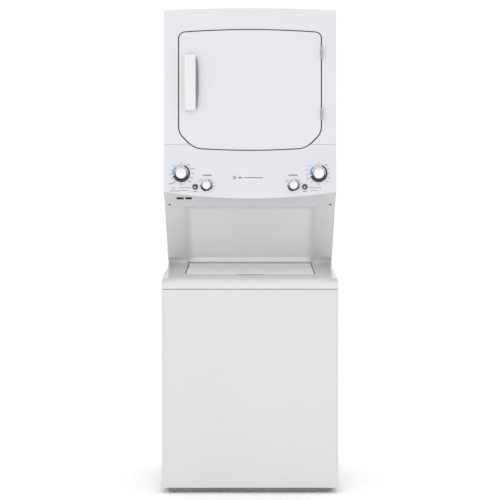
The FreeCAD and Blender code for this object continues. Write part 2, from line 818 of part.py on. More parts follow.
def bowed_slab(name, half, face, bow, back, low, high):
    """A slab whose front is an arc in plan: face is its depth at the sides, bow its rise in the middle."""
    radius = bow_radius(size(half).value, bow)
    outline = [
        (-half, at(face), (radius, 1)),
        (half, at(face)),
        (half, at(back)),
        (-half, at(back)),
    ]
    return prism(name, "XY", outline, low, high)


def door_outline(grow):
    """The door's edge, moved out by grow: straight sides, small top corners, cut lower corners, bowed ends."""
    half = D["door_half"] + grow
    top_arc, bottom_arc, slope = 4132.0, 2826.0, math.radians(3.6)
    corner = size(24) + grow
    knee = size(60) + grow
    heel = size(80) + grow
    cx, cz = D["door_half"] - 24, D["door_top"] - 32.1
    kx, kz = D["door_half"] - 60, D["door_bottom"] + 93.8
    hx, hz = D["door_half"] - 95.9, D["door_bottom"] + 86.2
    diagonal = math.sqrt(0.5)
    tilt = math.radians(3.88)
    right = [
        (hx + heel * math.sin(tilt), hz - heel * math.cos(tilt), (heel, 1)),
        (hx + heel * diagonal, hz - heel * diagonal),
        (kx + knee * diagonal, kz - knee * diagonal, (knee, 1)),
        (half, kz),
        (half, cz, (corner, 1)),
        (cx + corner * math.sin(slope), cz + corner * math.cos(slope), (size(top_arc) + grow, 1)),
    ]
    left = [
        (-(cx + corner * math.sin(slope)), cz + corner * math.cos(slope), (corner, 1)),
        (-half, cz),
        (-half, kz, (knee, 1)),
        (-(kx + knee * diagonal), kz - knee * diagonal),
        (-(hx + heel * diagonal), hz - heel * diagonal, (heel, 1)),
        (-(hx + heel * math.sin(tilt)), hz - heel * math.cos(tilt), (size(bottom_arc) + grow, 1)),
    ]
    return right + left


def opening_prism(name, inset, start, end):
    """The drum opening's rounded rectangle, made smaller by inset."""
    half = OPEN_X - inset
    low, high = OPEN_LOW + inset, OPEN_HIGH - inset
    outline = rectangle((-half, half), (low, high))
    radius = OPEN_ROUND - inset
    return prism(name, "XZ", outline, at(start), at(end), [(radius, outline)])


def dryer_front_panel():
    low, high = size(1322), D["cab_height"]
    face, bow = D["dryer_front"], D["dryer_bow"].value
    slab = bowed_slab("dryer_slab", HALF, face, bow, FRONT_BACK, low, high + 10)
    crown_radius = bow_radius(HALF.value, D["crown"].value)
    outline = [(-HALF, low), (HALF, low), (HALF, high, (crown_radius, 1)), (-HALF, high)]
    whole = common("dryer_face", slab, prism("dryer_edge", "XZ", outline, at(90), at(170)))
    inside = HALF - GAUGE
    hollow = bowed_slab("dryer_hollow", inside, face + GAUGE, bow, FRONT_BACK + 5, low + GAUGE, high - GAUGE)
    gap = D["door_gap"]
    wall = prism("pocket_wall", "XZ", door_outline(gap + GAUGE), at(100), at(FRONT_BACK + 10))
    pocket = prism("door_pocket", "XZ", door_outline(gap), at(90), at(FRONT_BACK - 2))
    opening = opening_prism("drum_opening", 0, 140, 170)
    notches = []
    for z in HINGE_ZS:
        notches.append(box("hinge_notch", (280, 293), (at(100), at(131)), (z - 29, z + 29)))
    panel = cut("front_sheet", whole, cut("around_pocket", hollow, wall), pocket, opening, *notches)
    brackets = []
    for z in HINGE_ZS:
        brackets.append(box("hinge_strip", (291, 293.5), (at(124.5), at(131)), (z - 29, z + 29)))
        for low_z in (z - 29, z + 26):
            brackets.append(box("hinge_ear", (284.2, 293.5), (at(117.5), at(131)), (low_z, low_z + 3)))
        brackets.append(rod("hinge_pin", 2, 58, HINGE_X, at(HINGE_Y), z - 29))
    node("dryer_front_panel", fuse("dryer_front_body", panel, *brackets))


def slope_angle():
    run = D["waist_depth"].value - D["brow_depth"].value
    rise = D["brow_height"].value - D["waist_height"].value
    return math.degrees(math.atan2(rise, -run))


def on_slope(thing):
    """Moves a shape drawn flat (X across, Y up the slope, Z out of it) onto the sloping panel."""
    turn = FreeCAD.Rotation(V(1, 0, 0), slope_angle())
    thing.Placement = FreeCAD.Placement(V(), turn.multiply(thing.Placement.Rotation))
    return move(thing, 0, at(D["waist_depth"]), D["waist_height"])


RECESS_DEEP = 18.0
SCREW_X, SCREW_UP = 323.0, 329.0


def recess_floor(extra):
    """The sunken field of the sloping panel as a hollow wedge: wide at the face, narrower at the floor."""
    wide = rectangle((-264 - extra, 264 + extra), (2 - extra, 320 + extra))
    narrow = rectangle((-248 - extra, 248 + extra), (14.6 - extra, 289.5 + extra))
    return lofted(f"recess_{extra:.0f}", [(narrow, -RECESS_DEEP - extra), (wide, 0)])


def recess_panel():
    half = HALF - GAUGE - 0.1
    thick = 1.5
    outer = [
        (at(D["waist_depth"]), D["waist_height"] + 0.3),
        (at(D["brow_depth"]), D["brow_height"]),
        (at(D["lip_depth"]), D["lip_height"]),
    ]
    inner = [
        (at(D["lip_depth"] + 1.4), D["lip_height"] + thick),
        (at(D["brow_depth"] + 0.9), D["brow_height"] + 1.3),
        (at(D["waist_depth"] + 2.1), D["waist_height"] + 0.3),
    ]
    sheet_metal = prism("recess_sheet", "YZ", outer + inner, -half, half)
    void = on_slope(recess_floor(0))
    tray = cut("recess_tray", on_slope(recess_floor(thick)), on_slope(recess_floor(0)))
    base = (at(D["waist_depth"] + 60), D["waist_height"] + 0.3)
    keep = prism(
        "recess_keep",
        "YZ",
        outer + [(at(300), D["lip_height"]), (at(500), 1100), (at(500), D["waist_height"] + 0.3), base],
        -half,
        half,
    )
    slots = [box("brow_slot", x, (at(140), at(180)), (1143, 1150)) for x in ((-293, -264.6), (-257.5, -231.9))]
    screws = [
        on_slope(rod("screw_hole", 2.05, 20, x * SCREW_X, 0, 0)) for x in (-1, 1)
    ]
    for x, hole in zip((-1, 1), screws):
        slide_up(hole, x * SCREW_X, SCREW_UP, -10)
    body = fuse("recess_body", sheet_metal, common("tray_kept", tray, keep))
    corners = []
    for x in ((-HALF, -HALF + 3.2), (HALF - 3.2, HALF)):
        corners.append(box("lip_notch", x, (at(115), at(SIDE_FRONT)), (1165, 1185)))
    node("recess_panel", cut("recess", body, void, *slots, *screws, *corners))


def slide_up(thing, across, up, out):
    """Puts a part that already lies on the slope at a place given in the slope's own directions."""
    turn = FreeCAD.Rotation(V(1, 0, 0), slope_angle())
    step = turn.multVec(V(across, up, out))
    return move(thing, step.x, at(D["waist_depth"]) + step.y, D["waist_height"] + step.z)


def recess_screws():
    screws = []
    for side in (-1, 1):
        profile = [(0, -9), (2, -9), (2, 0.2), (4.6, 0.2), (4.6, 1.4), (3.2, 2.6), (0, 2.8)]
        screw = turned(f"screw_{side + 1}", profile)
        upright = FreeCAD.Rotation(V(1, 0, 0), slope_angle())
        screw.Placement = FreeCAD.Placement(V(), upright)
        screws.append(slide_up(screw, side * SCREW_X, SCREW_UP, 0))
    node("recess_screws", gather("screws", *screws))


# ---------------------------------------------------------------------------------------------------------
# Console
# ---------------------------------------------------------------------------------------------------------
CONSOLE_SECTIONS = [
    # height, depth at the sides, depth in the middle
    (1358.0, 131.0, 114.5),
    (1292.0, 122.0, 104.0),
    (1140.0, 117.0, 97.0),
]
BEZEL_FACE = 107.5
DIAL_FACE = 103.5


def console_block(name, inset, half, back):
    sections = []
    for height, side, middle in reversed(CONSOLE_SECTIONS):
        radius = bow_radius(half.value, side - middle)
        outline = [
            (-half, at(side + inset), (radius, 1)),
            (half, at(side + inset)),
            (half, at(back)),
            (-half, at(back)),
        ]
        sections.append((outline, height))
    return lofted(name, sections)


def smile(lift):
    """Front view of the console: a straight top and a bottom edge that dips in the middle."""
    half = HALF + 5
    dip = 27.0
    radius = bow_radius(HALF.value, dip)
    low = D["console_bottom"] + dip + lift
    return [(-half, low, (radius, 1)), (half, low), (half, 1400), (-half, 1400)]


def each_control():
    """(x, height, shaft radius, ring radius, face depth) of the knobs and buttons."""
    for side in (-1, 1):
        yield D["knob_side"] * side, D["knob_height"], 3.06, 35.0, BEZEL_FACE
        yield D["dial_side"] * side, D["dial_height"], 3.06, 23.0, DIAL_FACE
        yield D["start_side"] * side, D["start_height"], 9.7, 11.5, DIAL_FACE


def console_fascia():
    half = HALF - 0.3
    back = FRONT_BACK + 22
    block = console_block("console_out", 0, half, back)
    face = common("console_face", block, prism("console_edge", "XZ", smile(0), at(80), at(200)))
    inner = console_block("console_in", 2.4, half - WALL, back + 20)
    hollow = common("console_hollow", inner, prism("console_inner_edge", "XZ", smile(2.4), at(80), at(200)))
    below_seam = box("below_seam", (-HALF, HALF), (at(80), at(210)), (1100, 1319.5))
    behind = bowed_slab("panel_room", HALF + 2, D["dryer_front"] - 0.2, D["dryer_bow"].value, 210, 1319.5, 1380)
    flange = [
        (at(D["lip_depth"] - 0.3), D["lip_height"] - 0.2),
        (at(D["brow_depth"]), D["brow_height"] - 0.3),
        (at(260), D["brow_height"] - 0.3),
        (at(260), 1500),
        (at(FRONT_BACK), 1500),
        (at(FRONT_BACK), D["lip_height"] - 4.2),
        (at(D["lip_depth"] + 10.3), D["lip_height"] - 4.2),
        (at(D["lip_depth"] + 1.6), D["lip_height"] + 1.8),
    ]
    room = prism("brow_room", "YZ", flange, -(HALF + 2), HALF + 2)
    gap = D["door_gap"]
    door = prism("door_room", "XZ", door_outline(gap), at(80), at(200))
    shell = cut("console_shell", face, common("console_core", hollow, below_seam), behind, room, door)
    bezels, bores = [], []
    for x, z, bore, ring, plane in each_control():
        bezels.append(rod("bezel", ring, 14, x, at(plane), z, "y"))
        bores.append(rod("control_bore", bore, 60, x, at(plane - 10), z, "y"))
    clear = cut("bezel_set", fuse("bezels", *bezels), hollow)
    node("console_fascia", cut("fascia", fuse("fascia_body", shell, clear), *bores))


def knob(label, name, scale, x, z, face):
    """A control knob on the front: skirt, waist and cap, with its shaft behind."""
    s = scale
    profile = [
        (0, -12),
        (3, -12),
        (3, 0.6),
        (27 * s, 0.6),
        (28 * s, 1.6),
        (27.5 * s, 4),
        (21.8 * s, 8),
        (20.6 * s, 22 * s),
        (18 * s, 25 * s),
        (0, 25.5 * s),
    ]
    node(label, turned(name, profile, x, at(face), z, "-y"))


def knobs():
    cycle_x, cycle_z = D["knob_side"], D["knob_height"]
    dial_x, dial_z = D["dial_side"], D["dial_height"]
    knob("washer_cycle_knob", "knob_a", 1.0, -cycle_x, cycle_z, BEZEL_FACE)
    knob("dryer_cycle_knob", "knob_b", 1.0, cycle_x, cycle_z, BEZEL_FACE)
    knob("washer_temp_knob", "knob_c", 0.76, -dial_x, dial_z, DIAL_FACE)
    knob("dryer_heat_knob", "knob_d", 0.76, dial_x, dial_z, DIAL_FACE)


def start_buttons():
    profile = [(0, -14), (4, -14), (4, -8), (9.6, -8), (9.6, 3), (8.4, 5), (5, 6.4), (0, 7)]
    for label, side in (("washer_start_button", -1), ("dryer_start_button", 1)):
        x = D["start_side"] * side
        node(label, turned(label + "_body", profile, x, at(DIAL_FACE), D["start_height"], "-y"))


def control_box():
    outer = box("control_out", (-300, 300), (at(128), at(150)), (1184, 1302))
    inner = box("control_in", (-298, 298), (at(130), at(148)), (1186, 1300))
    board = box("control_board", (-290, 290), (at(138), at(140)), (1186, 1300))
    node("control_box", fuse("control", cut("control_shell", outer, inner), board))


# ---------------------------------------------------------------------------------------------------------
# Dryer door, in the closed position
# ---------------------------------------------------------------------------------------------------------
DOOR_BACK = 134.0
PAN_BACK = 150.0
PLUG_BACK = 160.0


def door_slab(name, inset, back):
    bow = D["dryer_bow"].value
    return bowed_slab(name, HALF, D["dryer_front"] - 1.5 + inset, bow, back, 1300, 1850)


def hinge_gaps(tag):
    gaps = []
    for z in HINGE_ZS:
        gaps.append(box(f"hinge_gap_{tag}", (267.5, 300), (at(100), at(131)), (z - 26, z + 26)))
        gaps.append(box(f"hinge_tail_{tag}", (280.2, 300), (at(100), at(160)), (z - 30, z + 30)))
    return gaps


def door_outer():
    skin = common("door_skin", door_slab("door_slab_out", 0, DOOR_BACK), prism_door("door_edge", 0))
    inside = common("door_inside", door_slab("door_slab_in", GAUGE, DOOR_BACK + 5), prism_door("door_core", -GAUGE))
    node("door_outer", cut("door_shell", skin, inside, *hinge_gaps("outer")))


def prism_door(name, grow, start=80, end=200):
    return prism(name, "XZ", door_outline(grow), at(start), at(end))


def door_inner():
    pan = prism_door("pan_out", -5, DOOR_BACK, PAN_BACK)
    pan_void = prism_door("pan_in", -6.5, DOOR_BACK - 2, PAN_BACK - 1.5)
    plug = opening_prism("plug_out", 12, PAN_BACK - 1, PLUG_BACK)
    plug_void = opening_prism("plug_in", 13.5, PAN_BACK - 5, PLUG_BACK - 1.5)
    whole = fuse("pan_whole", pan, plug)
    node("door_inner", cut("pan", whole, pan_void, plug_void, *hinge_gaps("inner")))


def door_seal():
    outer = opening_prism("seal_out", -17, PAN_BACK, FRONT_BACK - 2.3)
    inner = opening_prism("seal_in", -7, PAN_BACK - 5, FRONT_BACK)
    node("door_seal", cut("seal", outer, inner))


def door_hinges():
    leaves = []
    for i, z in enumerate(HINGE_ZS):
        low, high = z - HINGE_LONG / 2, z + HINGE_LONG / 2
        barrel = rod(f"barrel_{i}", 4.2, HINGE_LONG, HINGE_X, at(HINGE_Y), low)
        leaf = box(f"leaf_{i}", (268, 283), (at(119), at(121.5)), (low, high))
        tail = box(f"leaf_tail_{i}", (268, 270), (at(119), at(DOOR_BACK)), (low + 8, high - 8))
        bore = rod(f"barrel_bore_{i}", 2.06, HINGE_LONG + 4, HINGE_X, at(HINGE_Y), low - 2)
        web = cut(f"leaf_clear_{i}", fuse(f"leaf_body_{i}", barrel, leaf, tail), bore)
        leaves.append(web)
    node("door_hinges", gather("hinge_set", *leaves))


def door_handle():
    low, high = 1491.0, 1713.6
    left, right = -258.5, -214.0
    rise = 12.0
    radius = bow_radius((high - low) / 2 - 2, rise)
    profile = [
        (at(128), low),
        (at(128), high),
        (at(98), high - 2, (radius, 1)),
        (at(98), low + 2),
    ]
    bar = prism("handle_bar", "YZ", profile, left, right)
    finger = box("finger_room", (left + 12, right + 10), (at(100), at(140)), (low + 16, high - 16))
    face = door_slab("handle_base", 0, DOOR_BACK + 10)
    node("door_handle", cut("handle", bar, finger, face))


# ---------------------------------------------------------------------------------------------------------
# Drum, drive, air path and heater
# ---------------------------------------------------------------------------------------------------------
DRUM_Z = D["drum_height"]
DRUM_FRONT, DRUM_BACK = 192.0, 690.0
BULKHEAD = 187.0
ROTOR_X, ROTOR_Z = -D["rotor_side"], D["rotor_height"]
BLOWER_FRONT, BLOWER_BACK = 352.0, 410.0
PULLEY_DEPTH = 556.0
EXHAUST_X, EXHAUST_Z = -178.0, 1085.0
FILTER_HALF, FILTER_LOW = 115.0, 1210.0


def dryer_drum():
    radius = D["drum_radius"]
    skin = 1.2
    neck = 303.0
    profile = [
        (neck, DRUM_FRONT),
        (size(neck + skin), DRUM_FRONT),
        (size(neck + skin), 212),
        (radius, 220),
        (radius, DRUM_BACK),
        (50, DRUM_BACK),
        (50, DRUM_BACK + 4),
        (9, DRUM_BACK + 4),
        (9, 725),
        (0, 725),
        (0, DRUM_BACK - skin),
        (radius - skin, DRUM_BACK - skin),
        (radius - skin, 221),
        (neck, 213),
    ]
    node("dryer_drum", turned("drum_body", profile, 0, at(0), DRUM_Z, "y"))


def drum_baffles():
    vanes = []
    rim = D["drum_radius"].value - 1.6
    half = 30.0
    foot = math.sqrt(rim**2 - half**2)
    outline = [(-half, -foot), (half, -foot), (9, 68 - foot), (-9, 68 - foot)]
    hollow = [(3 - half, -foot - 1), (half - 3, -foot - 1), (7, 65 - foot), (-7, 65 - foot)]
    for third in range(3):
        block = prism(f"vane_out_{third}", "XZ", outline, 235, 660)
        vane = cut(f"vane_{third}", block, prism(f"vane_in_{third}", "XZ", hollow, 238, 657))
        turn = FreeCAD.Rotation(V(0, 1, 0), 40 + 120 * third)
        vane.Placement = FreeCAD.Placement(V(), turn)
        vanes.append(move(vane, 0, at(0), DRUM_Z))
    node("drum_baffles", gather("vanes", *vanes))


def front_bulkhead():
    plate = box("bulkhead_plate", (-334, 334), (at(BULKHEAD), at(BULKHEAD + 1.5)), (1226, 1872))
    collar = tube("bulkhead_collar", 298.5, 297, 23.5, 0, at(BULKHEAD + 1.5), DRUM_Z, "y")
    shroud = cut("shroud", opening_prism("shroud_out", -2, FRONT_BACK, BULKHEAD + 1), opening_prism("shroud_in", 0, 140, 200))
    opening = opening_prism("bulkhead_opening", 0, 140, 200)
    slot = box("filter_slot", (-(FILTER_HALF + 1), FILTER_HALF + 1), (at(164), at(182)), (1380, 1400))
    node("front_bulkhead", cut("bulkhead", fuse("bulkhead_body", plate, collar, shroud), opening, slot))


def drum_seal():
    node("drum_seal", tube("felt", 302.7, 298.5, 17, 0, at(DRUM_FRONT + 1), DRUM_Z, "y"))


def drum_bearing():
    back = at(D["cab_depth"] - GAUGE)
    block = rod("bearing_block", 28, back - at(700), 0, at(700), DRUM_Z, "y")
    arm = box("bearing_arm", (-24, 24), (back - 10, back), (DRUM_Z - 150, DRUM_Z + 150))
    bore = rod("bearing_bore", 9.06, 30, 0, at(699), DRUM_Z, "y")
    node("drum_bearing", cut("bearing", fuse("bearing_body", block, arm), bore))


def drum_belt():
    big = V(0, 0, 0)
    small = V(ROTOR_X.value, ROTOR_Z.value - DRUM_Z.value, 0)
    turn = FreeCAD.Rotation(V(1, 0, 0), 90)
    place = FreeCAD.Placement(V(0, at(PULLEY_DEPTH + 10).value, DRUM_Z.value), turn)
    node("drum_belt", belt_loop("drum_belt_loop", big, D["drum_radius"].value, small, 12, 2.5, 8, place))


def dryer_motor():
    back = 545.0
    case = rod("dryer_motor_case", 66, back - 425, ROTOR_X, at(425), ROTOR_Z, "y")
    bore = rod("dryer_motor_bore", 7.06, 200, ROTOR_X, at(400), ROTOR_Z, "y")
    floor = D["waist_height"] + 0.2
    foot = box("motor_foot", (ROTOR_X - 50, ROTOR_X + 50), (at(440), at(530)), (floor, ROTOR_Z - 40))
    arch = box("motor_arch", (ROTOR_X - 44, ROTOR_X + 44), (at(430), at(540)), (floor + 3, ROTOR_Z - 66))
    case_room = rod("motor_room", 66, 200, ROTOR_X, at(400), ROTOR_Z, "y")
    stand = cut("motor_stand", foot, arch, case_room)
    node("dryer_motor", fuse("dryer_motor_body", cut("dryer_motor_shell", case, bore), stand))


def motor_shaft():
    profile = [(0, 358), (7, 358), (7, PULLEY_DEPTH), (14, PULLEY_DEPTH), (12, PULLEY_DEPTH + 1.5)]
    profile += [(12, PULLEY_DEPTH + 10.5), (14, PULLEY_DEPTH + 12), (0, PULLEY_DEPTH + 12)]
    node("motor_shaft", turned("motor_shaft_body", profile, ROTOR_X, at(0), ROTOR_Z, "y"))


def blower_wheel():
    profile = [(7, 362), (18, 362), (18, 398), (84, 398), (84, 400), (7, 400)]
    hub = turned("wheel_hub", profile, ROTOR_X, at(0), ROTOR_Z, "y")
    ring = tube("wheel_ring", 84, 66, 4, ROTOR_X, at(360), ROTOR_Z, "y")
    blades = []
    count = 18
    for i in range(count):
        angle = 360.0 / count * i
        blade = doc.addObject("Part::Box", "blade")
        bind(blade, "Length", 16)
        bind(blade, "Width", 36)
        bind(blade, "Height", 2)
        turn = FreeCAD.Rotation(V(0, 1, 0), angle)
        start = turn.multVec(V(67, 0, -1))
        blade.Placement = FreeCAD.Placement(V(), turn.multiply(FreeCAD.Rotation(V(0, 1, 0), 0)))
        blades.append(move(blade, ROTOR_X + start.x, at(363), ROTOR_Z + start.z))
    node("blower_wheel", fuse("wheel", hub, ring, *blades))


def blower_housing():
    outer, inner = 98.0, 95.5
    depth = BLOWER_BACK - BLOWER_FRONT
    case = rod("blower_out", outer, depth, ROTOR_X, at(BLOWER_FRONT), ROTOR_Z, "y")
    room = rod("blower_in", inner, depth - 5, ROTOR_X, at(BLOWER_FRONT + 2.5), ROTOR_Z, "y")
    mouth, mouth_room = [
        box(
            "mouth",
            (EXHAUST_X - half, ROTOR_X),
            (at(BLOWER_FRONT + skin), at(BLOWER_BACK - skin)),
            (EXHAUST_Z - half, EXHAUST_Z + half),
        )
        for half, skin in ((54, 0), (51.5, 2.5))
    ]
    inlet = rod("blower_inlet", 55, 20, ROTOR_X, at(BLOWER_FRONT - 5), ROTOR_Z, "y")
    shaft = rod("blower_shaft_hole", 12, 30, ROTOR_X, at(BLOWER_BACK - 15), ROTOR_Z, "y")
    outlet = rod("blower_outlet", 46, 20, EXHAUST_X, at(BLOWER_BACK - 10), EXHAUST_Z, "y")
    whole = fuse("blower_case", case, mouth)
    node("blower_housing", cut("blower", whole, room, mouth_room, inlet, shaft, outlet))


def exhaust_duct():
    rear = at(D["cab_depth"])
    start = at(BLOWER_BACK)
    pipe = rod("duct_pipe", D["duct_radius"] + 1, rear - start, EXHAUST_X, start, EXHAUST_Z, "y")
    collar = rod("duct_collar", D["duct_radius"], D["collar_length"], EXHAUST_X, rear, EXHAUST_Z, "y")
    bore = rod("duct_bore", D["duct_radius"] - 1, 500, EXHAUST_X, at(400), EXHAUST_Z, "y")
    node("exhaust_duct", cut("duct", fuse("duct_body", pipe, collar), bore))


def lint_duct():
    drop_front = 322.0
    half = FILTER_HALF + 8
    outer = [
        box("duct_a", (-half, half), (at(162), at(185)), (1185, 1393)),
        box("duct_b", (-118, -2), (at(162), at(BLOWER_FRONT)), (1185, 1221)),
        box("duct_c", (-118, -2), (at(drop_front), at(BLOWER_FRONT)), (1063, 1221)),
    ]
    inner = [
        box("duct_d", (-half + 2, half - 2), (at(164), at(183)), (1187, 1400)),
        box("duct_e", (-116, -4), (at(164), at(BLOWER_FRONT - 2)), (1187, 1219)),
        box("duct_f", (-116, -4), (at(drop_front + 2), at(BLOWER_FRONT - 2)), (1065, 1219)),
        rod("duct_g", 50, 20, ROTOR_X, at(BLOWER_FRONT - 10), ROTOR_Z, "y"),
    ]
    node("lint_duct", cut("lint_duct_shell", fuse("lint_duct_body", *outer), *inner))


def lint_filter():
    depth = (at(165.5), at(180.5))
    frame = box("filter_frame", (-FILTER_HALF, FILTER_HALF), depth, (FILTER_LOW, 1396))
    windows = []
    for x in (-106, 3):
        windows.append(box("filter_window", (x, x + 103), (at(160), at(190)), (FILTER_LOW + 10, 1370)))
    screen = box("filter_screen", (-112, 112), (at(172.6), at(173.4)), (FILTER_LOW + 5, 1375))
    grip = box("filter_grip", (-30, 30), (at(171), at(175)), (1390, 1412))
    node("lint_filter", fuse("filter", cut("filter_body", frame, *windows), screen, grip))


def heater():
    front, back = 697.0, 735.0
    outer, inner = 270.0, 40.0
    profile = [
        (outer, front),
        (outer, back),
        (inner, back),
        (inner, front + 14),
        (inner + 1.2, front + 14),
        (inner + 1.2, back - 1.2),
        (outer - 1.2, back - 1.2),
        (outer - 1.2, front),
    ]
    cut_room = box("bearing_arm_room", (-25, 25), (at(730), at(740)), (DRUM_Z - 151, DRUM_Z + 151))
    shell = turned("heater_shell", profile, 0, at(0), DRUM_Z, "y")
    legs = []
    for x, z in ((-200, -100), (200, -100), (0, 220)):
        y = (at(back), at(D["cab_depth"] - GAUGE))
        legs.append(box("heater_leg", (x - 15, x + 15), y, (DRUM_Z + z - 15, DRUM_Z + z + 15)))
    parts = [cut("heater_case", fuse("heater_body", shell, *legs), cut_room)]
    for ring, radius in enumerate((110, 160, 210)):
        coil = doc.addObject("Part::Torus", f"coil_{ring}")
        bind(coil, "Radius1", radius)
        bind(coil, "Radius2", 4)
        coil.Placement = FreeCAD.Placement(V(), TURNS["y"])
        parts.append(move(coil, 0, at(714), DRUM_Z))
    node("heater", gather("heater_set", *parts))


def build():
    washer_cabinet()
    washer_front_panel()
    base_frame()
    levelling_feet()
    washer_top_cover()
    washer_lid()
    outer_tub()
    tub_ring()
    wash_basket()
    balance_ring()
    agitator()
    drive_shaft()
    gearcase()
    drive_pulley()
    washer_motor()
    washer_motor_pulley()
    washer_belt()
    drain_pump()
    drain_hose()
    drain_outlet()
    water_valve()
    suspension_rods()
    suspension_springs()
    dryer_sides()
    dryer_rear_panel()
    dryer_top_panel()
    dryer_front_panel()
    recess_panel()
    recess_screws()
    console_fascia()
    knobs()
    start_buttons()
    control_box()
    door_outer()
    door_inner()
    door_seal()
    door_hinges()
    door_handle()
    dryer_drum()
    drum_baffles()
    front_bulkhead()
    drum_seal()
    drum_bearing()
    drum_belt()
    dryer_motor()
    motor_shaft()
    blower_wheel()
    blower_housing()
    exhaust_duct()
    lint_duct()
    lint_filter()
    heater()


def check():
    """Stops if any object failed or a sub-part isn't a valid set of solids."""
    for thing in doc.Objects:
        bad = [state for state in thing.State if state in ("Invalid", "Error")]
        if bad:
            raise RuntimeError(f"{thing.Name} ({thing.Label}): {bad}")
    for thing in NODES:
        shape = thing.Shape
        if shape.isNull() or not shape.isValid() or not shape.Solids or shape.Volume <= 0:
            raise RuntimeError(f"{thing.Label}: bad shape")


def export():
    os.makedirs("parts", exist_ok=True)
    for thing in NODES:
        thing.Shape.exportStep(f"parts/{thing.Label}.step")
        solids = len(thing.Shape.Solids)
        print(f"{thing.Label:24s} solids {solids}  volume {thing.Shape.Volume / 1000:.1f} cm3")


build()
doc.recompute()
check()
export()
print(len(NODES), "sub-parts")
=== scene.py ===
"""Looks of the stacked washer and dryer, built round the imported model.

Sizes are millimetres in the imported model's frame and become metres when a mesh is made. A depth is measured
back from the washer's front face. Pressed sheets are flat outlines wrapped onto a surface by panel().
"""

import json
import math

import bpy
import numpy as np
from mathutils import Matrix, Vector
from mathutils.geometry import delaunay_2d_cdt


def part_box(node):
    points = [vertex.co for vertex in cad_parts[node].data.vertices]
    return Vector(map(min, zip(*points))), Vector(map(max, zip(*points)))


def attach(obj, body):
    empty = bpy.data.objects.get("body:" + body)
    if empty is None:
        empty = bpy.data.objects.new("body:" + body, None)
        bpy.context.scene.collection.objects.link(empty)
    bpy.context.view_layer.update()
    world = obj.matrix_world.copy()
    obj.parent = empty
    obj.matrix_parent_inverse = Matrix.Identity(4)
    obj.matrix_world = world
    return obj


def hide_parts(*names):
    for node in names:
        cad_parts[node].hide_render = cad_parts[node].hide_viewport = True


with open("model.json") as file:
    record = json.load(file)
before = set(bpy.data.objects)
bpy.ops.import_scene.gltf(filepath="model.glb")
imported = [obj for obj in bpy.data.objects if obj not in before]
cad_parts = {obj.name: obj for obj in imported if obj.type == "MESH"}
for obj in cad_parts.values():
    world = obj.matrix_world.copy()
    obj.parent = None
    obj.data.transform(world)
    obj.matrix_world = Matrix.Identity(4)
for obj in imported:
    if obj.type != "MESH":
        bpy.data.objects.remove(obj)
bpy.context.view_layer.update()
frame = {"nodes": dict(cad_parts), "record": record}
MM = 0.001
RNG = np.random.default_rng(7)


def span(node):
    """A CAD node's lowest and highest corners at rest, in millimetres."""
    low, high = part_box(node)
    return [c / MM for c in low], [c / MM for c in high]


def middle(node):
    """The middle of a CAD node's box at rest, in millimetres."""
    low, high = span(node)
    return [(a + b) / 2 for a, b in zip(low, high)]


(_, FRONT, FRONT_LOW), (HALF, _, FRONT_HIGH) = span("washer_front_panel")
(_, _, SEAM), (_, DECK_BACK, WAIST) = span("washer_top_cover")
(_, _, DOOR_LOW), (DOOR_HALF, _, DOOR_TOP) = span("door_outer")
(_, _, CONSOLE_LOW), (CONSOLE_HALF, _, CONSOLE_HIGH) = span("console_fascia")
_, (_, PANEL_BACK, CROWN_TOP) = span("dryer_front_panel")
DECK_BACK -= FRONT
PANEL_BACK -= FRONT
LID_HALF = span("washer_lid")[1][0] - 6
KNOB_X, _, KNOB_Z = middle("dryer_cycle_knob")
DIAL_X, _, DIAL_Z = middle("dryer_heat_knob")
START_X, _, START_Z = middle("dryer_start_button")
STEM = 12.0
BEZEL, DIAL_BEZEL = (span(node)[1][1] - FRONT - STEM for node in ("dryer_cycle_knob", "dryer_heat_knob"))
SIDES = ((-1, "left"), (1, "right"))


# ------------------------------------------------------------
# Outlines
# ------------------------------------------------------------


def trace(outline, closed=True, step=10.0, turn=math.radians(6)):
    """Points along an outline. A corner is (u, v), or (u, v, (radius, side)) where an arc leaves it with its
    centre on the left (side 1) or right (side -1)."""
    points = []
    corners = list(outline)
    pairs = zip(corners, corners[1:] + corners[:1]) if closed else zip(corners, corners[1:])
    for corner, following in pairs:
        start, end = np.array(corner[:2], float), np.array(following[:2], float)
        run = end - start
        length = np.hypot(*run)
        if len(corner) == 2:
            count = max(1, round(length / step))
            points += [start + run * k / count for k in range(count)]
            continue
        radius, side = corner[2]
        rise = math.sqrt(max(radius**2 - (length / 2) ** 2, 0.0))
        centre = (start + end) / 2 + np.array([-run[1], run[0]]) / length * rise * side
        first = math.atan2(*(start - centre)[::-1])
        sweep = (math.atan2(*(end - centre)[::-1]) - first) * side % (2 * math.pi) * side
        count = max(3, math.ceil(abs(sweep) / turn), round(abs(sweep) * radius / step))
        for k in range(count):
            angle = first + sweep * k / count
            points.append(centre + radius * np.array([math.cos(angle), math.sin(angle)]))
    if not closed:
        points.append(np.array(corners[-1][:2], float))
    return np.array(points)


def rounded(u, v, radius):
    """A rectangle with round corners, anticlockwise."""
    (a, b), (c, d), r = u, v, radius
    return [
        (a + r, c), (b - r, c, (r, 1)), (b, c + r), (b, d - r, (r, 1)),
        (b - r, d), (a + r, d, (r, 1)), (a, d - r), (a, c + r, (r, 1)),
    ]  # fmt: skip


def circle(u, v, radius, count=48):
    angles = np.arange(count) * 2 * math.pi / count
    return np.column_stack([u + radius * np.cos(angles), v + radius * np.sin(angles)])


def arc_radius(half, rise):
    """The radius of an arc of that half width and rise."""
    return (half**2 + rise**2) / (2 * rise)


def bow(x, half, rise):
    """How far an arc of that half width and rise stands out at x."""
    radius = arc_radius(half, rise)
    return np.sqrt(radius**2 - np.asarray(x, float) ** 2) - (radius - rise)


def ease(share):
    """0 to 1, with a level start and end."""
    share = np.clip(share, 0, 1)
    return share**2 * (3 - 2 * share)


